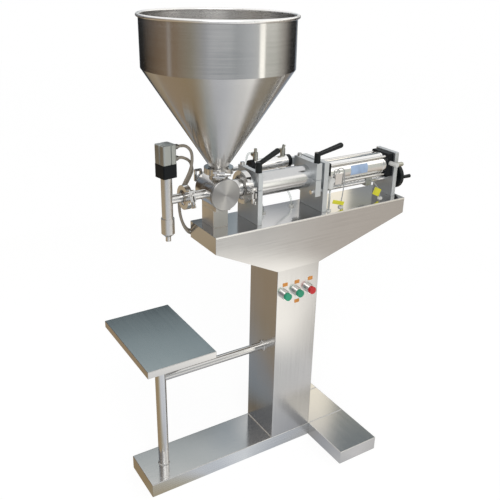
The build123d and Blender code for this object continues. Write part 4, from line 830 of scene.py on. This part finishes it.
def straight(start, end, spacing=0.001):
    """Evenly spaced points between two places."""
    start, end = Vector(start), Vector(end)
    count = max(2, round((end - start).length / spacing))
    return [start.lerp(end, step / count) for step in range(count + 1)]


def circle(centre, axis, radius, count=96):
    """Points round a centre, square to an axis."""
    side = Vector(axis).orthogonal().normalized()
    other = Vector(axis).cross(side)
    turns = (tau * step / count for step in range(count))
    return [Vector(centre) + (side * cos(turn) + other * sin(turn)) * radius for turn in turns]


def add_welds(finishes):
    """Weld beads where the stand's tubes and sheets meet."""
    leg, inset, post_radius = 0.0022, 0.004, 0.016
    top = beam_high.z
    for side, y in (("front", beam_low.y), ("rear", beam_high.y)):
        line = straight((foot_low.x + inset, y, top - leg / 2), (foot_high.x - inset, y, top - leg / 2))
        bead(f"foot_weld_{side}", line, leg, finishes)
    for side, x in (("left", column_low.x), ("right", column_high.x)):
        line = straight((x, column_low.y + inset, top), (x, column_high.y - inset, top))
        bead(f"column_weld_{side}", line, leg, finishes)
    post = ((post_low.x + post_high.x) / 2, 0, top)
    bead("post_weld", circle(post, (0, 0, 1), post_radius), leg, finishes, closed=True)
    brace = (column_low.x, 0, (arm_low.z + arm_high.z) / 2)
    bead("brace_weld", circle(brace, (1, 0, 0), (arm_high.z - arm_low.z) / 2), leg, finishes, closed=True)


def add_yellow_tags(finishes):
    """Blank yellow flags on the two switch cables."""
    thickness, corner = 0.0007, 0.0015
    flags = (
        ("switch_cable_front", 0.046, 0.012, (0.155, -0.0488, 0.8155), -17),
        ("switch_cable_rear", 0.030, 0.024, (0.3135, -0.0425, 0.8225), -26),
    )
    for line, width, height, middle, tilt in flags:
        turn = radians(tilt)
        right = Vector((cos(turn), 0, sin(turn)))
        up = Vector((-sin(turn), 0, cos(turn)))

        def on_cable(across, along, lift):
            return Vector(middle) + right * across + up * along + Vector((0, -lift, 0))

        name = line + "_tag"
        mesh = plate(name, width, height, thickness, corner, on_cable)
        new_piece(name, mesh, finishes["yellow"], "root")


# Studio building


def staged(name, mesh, material):
    """A floor or backdrop, which isn't part of the object."""
    mesh.materials.append(material)
    piece = bpy.data.objects.new(name, mesh)
    bpy.context.collection.objects.link(piece)
    return piece


def seen_directly(tree):
    """1 for camera, glossy and transmission rays, else 0."""
    path = add(tree, "LightPath").outputs
    first = maths(tree, "MAXIMUM", path["Is Camera Ray"], path["Is Glossy Ray"])
    return maths(tree, "MAXIMUM", first, path["Is Transmission Ray"])


def add_world():
    """White where it is seen, softer where it lights the object."""
    world = bpy.data.worlds.new("studio")
    world.use_nodes = True
    tree = world.node_tree
    level = spread(tree, seen_directly(tree), ambient_level, 1.0, 0.0, 1.0)
    tree.links.new(level, tree.nodes["Background"].inputs["Strength"])
    tree.nodes["Background"].inputs["Color"].default_value = rgba(1.0)
    bpy.context.scene.world = world


def level_ring(radius, z):
    """Points round a level circle."""
    turns = [tau * step / card_sides for step in range(card_sides)]
    return [(radius * cos(turn), radius * sin(turn), z) for turn in turns]


def disc(name, radius, z):
    """A flat round sheet."""
    mesh = bpy.data.meshes.new(name)
    mesh.from_pydata(level_ring(radius, z), [], [tuple(range(card_sides))])
    return mesh


def add_floor():
    """A pale floor that keeps the object's soft shadow."""
    material, tree, main = shader("pale_floor", {"Base Color": rgba(floor_tone), "Roughness": floor_rough})
    glow = add(tree, "Emission", {"Color": rgba(1.0), "Strength": floor_level})
    share = maths(tree, "MULTIPLY", seen_directly(tree), floor_share)
    both = add(tree, "MixShader", {0: share, 1: main.outputs["BSDF"], 2: glow.outputs["Emission"]})
    tree.links.new(both.outputs["Shader"], tree.nodes["Material Output"].inputs["Surface"])
    staged("floor", disc("floor", floor_radius, -floor_drop), material)


def bearing(degrees):
    """A compass angle about the hopper as a share of a turn."""
    return degrees / 360 + 0.5


def around(stops):
    """Stops of a ramp from compass angles in degrees."""
    return [(bearing(degrees), scaled_card(colour)) for degrees, colour in stops]


def scaled_card(colour):
    """A card's colour as a share of its gain."""
    return tuple(level / card_gain for level in colour)


def card_material(name, colour_of):
    """A glowing card; colour_of gives its colour from compass angle, height and distance."""
    material = bpy.data.materials.new(name)
    material.use_nodes = True
    material.cycles.emission_sampling = "NONE"
    tree = material.node_tree
    tree.nodes.remove(tree.nodes["Principled BSDF"])
    where = flat_place(tree)
    parts = add(tree, "SeparateXYZ", {0: where}).outputs
    angle = maths(tree, "ARCTAN2", parts["Y"], parts["X"])
    turn = spread(tree, angle, 0.0, 1.0, -pi, pi)
    flat = add(tree, "CombineXYZ", {0: parts["X"], 1: parts["Y"]})
    distance = add(tree, "VectorMath", {0: flat.outputs["Vector"]}, operation="LENGTH").outputs["Value"]
    colour = colour_of(tree, turn, parts["Z"], distance)
    glow = add(tree, "Emission", {"Color": colour, "Strength": card_gain})
    tree.links.new(glow.outputs["Emission"], tree.nodes["Material Output"].inputs["Surface"])
    return material


def blended(tree, share, first, second):
    """The first colour turning into the second as the share goes from 0 to 1."""
    return add(tree, "MixRGB", {"Fac": share, "Color1": first, "Color2": second}).outputs["Color"]


def wall_colour(tree, turn, height, distance):
    """Cards round the object: grey in front, a light strip right, brown left, panels behind."""
    sides = ramp(tree, turn, around(wall_stops))
    rise = spread(tree, height, 0.0, 1.0, 0.0, card_height)
    rear = None
    for start, full, stops in rear_panels:
        panel = ramp(tree, rise, [(z / card_height, scaled_card(level)) for z, level in stops])
        share = spread(tree, turn, 0.0, 1.0, bearing(start), bearing(full))
        rear = blended(tree, share, rear, panel) if rear else panel
    skirt = spread(tree, height, 1.0, 0.0, skirt_top, skirt_end)
    sides = blended(tree, skirt, sides, ramp(tree, turn, around(ground_rings[-1][2])))
    upper = spread(tree, height, 0.0, 1.0, upper_start, upper_full)
    sides = blended(tree, upper, sides, ramp(tree, turn, around(upper_stops)))
    crown = spread(tree, height, 0.0, 1.0, crown_start, crown_full)
    sides = blended(tree, crown, sides, ramp(tree, turn, around(crown_stops)))
    behind = ramp(tree, turn, [(bearing(degrees), level) for degrees, level in rear_share])
    return blended(tree, behind, sides, rear)


def ground_colour(tree, turn, height, distance):
    """Cards on the ground in rings, from under the hopper to far off."""
    colour = None
    for start, full, stops in ground_rings:
        ring = ramp(tree, turn, around(stops))
        share = spread(tree, distance, 0.0, 1.0, start, full)
        colour = blended(tree, share, colour, ring) if colour else ring
    return colour


def add_cards():
    """Soft cards round the object, seen only in its reflections."""
    wall = bpy.data.meshes.new("card_wall")
    faces = []
    for side in range(card_sides):
        after = (side + 1) % card_sides
        faces.append((side, after, after + card_sides, side + card_sides))
    wall.from_pydata(level_ring(card_radius, 0.0) + level_ring(card_radius, card_height), [], faces)
    ground = disc("card_ground", card_radius, 0.0)
    cards = (
        staged("card_wall", wall, card_material("card_wall", wall_colour)),
        staged("card_ground", ground, card_material("card_ground", ground_colour)),
    )
    for card in cards:
        card.location = (hopper_centre.x, hopper_centre.y, -floor_drop / 2)
        card.visible_camera = False
        card.visible_diffuse = False
        card.visible_shadow = False
        card.visible_transmission = False


def add_key_light():
    """One large soft lamp at the front left."""
    data = bpy.data.lights.new("key_light", "AREA")
    data.shape = "SQUARE"
    data.size = key_size
    data.energy = key_power
    lamp = bpy.data.objects.new("key_light", data)
    lamp.location = key_place
    aim = Vector(key_target) - Vector(key_place)
    lamp.rotation_euler = aim.to_track_quat("-Z", "Y").to_euler()
    bpy.context.collection.objects.link(lamp)


add_camera()
surface_finishes = make_finishes()
add_lines(surface_finishes)
add_finishes(surface_finishes)
add_button_tags(surface_finishes)
add_cylinder_label(surface_finishes)
add_yellow_tags(surface_finishes)
add_lead_screw(surface_finishes)
add_nozzle_block(surface_finishes)
add_welds(surface_finishes)
add_world()
add_floor()
add_cards()
add_key_light()
bpy.context.scene.view_settings.view_transform = "Standard"
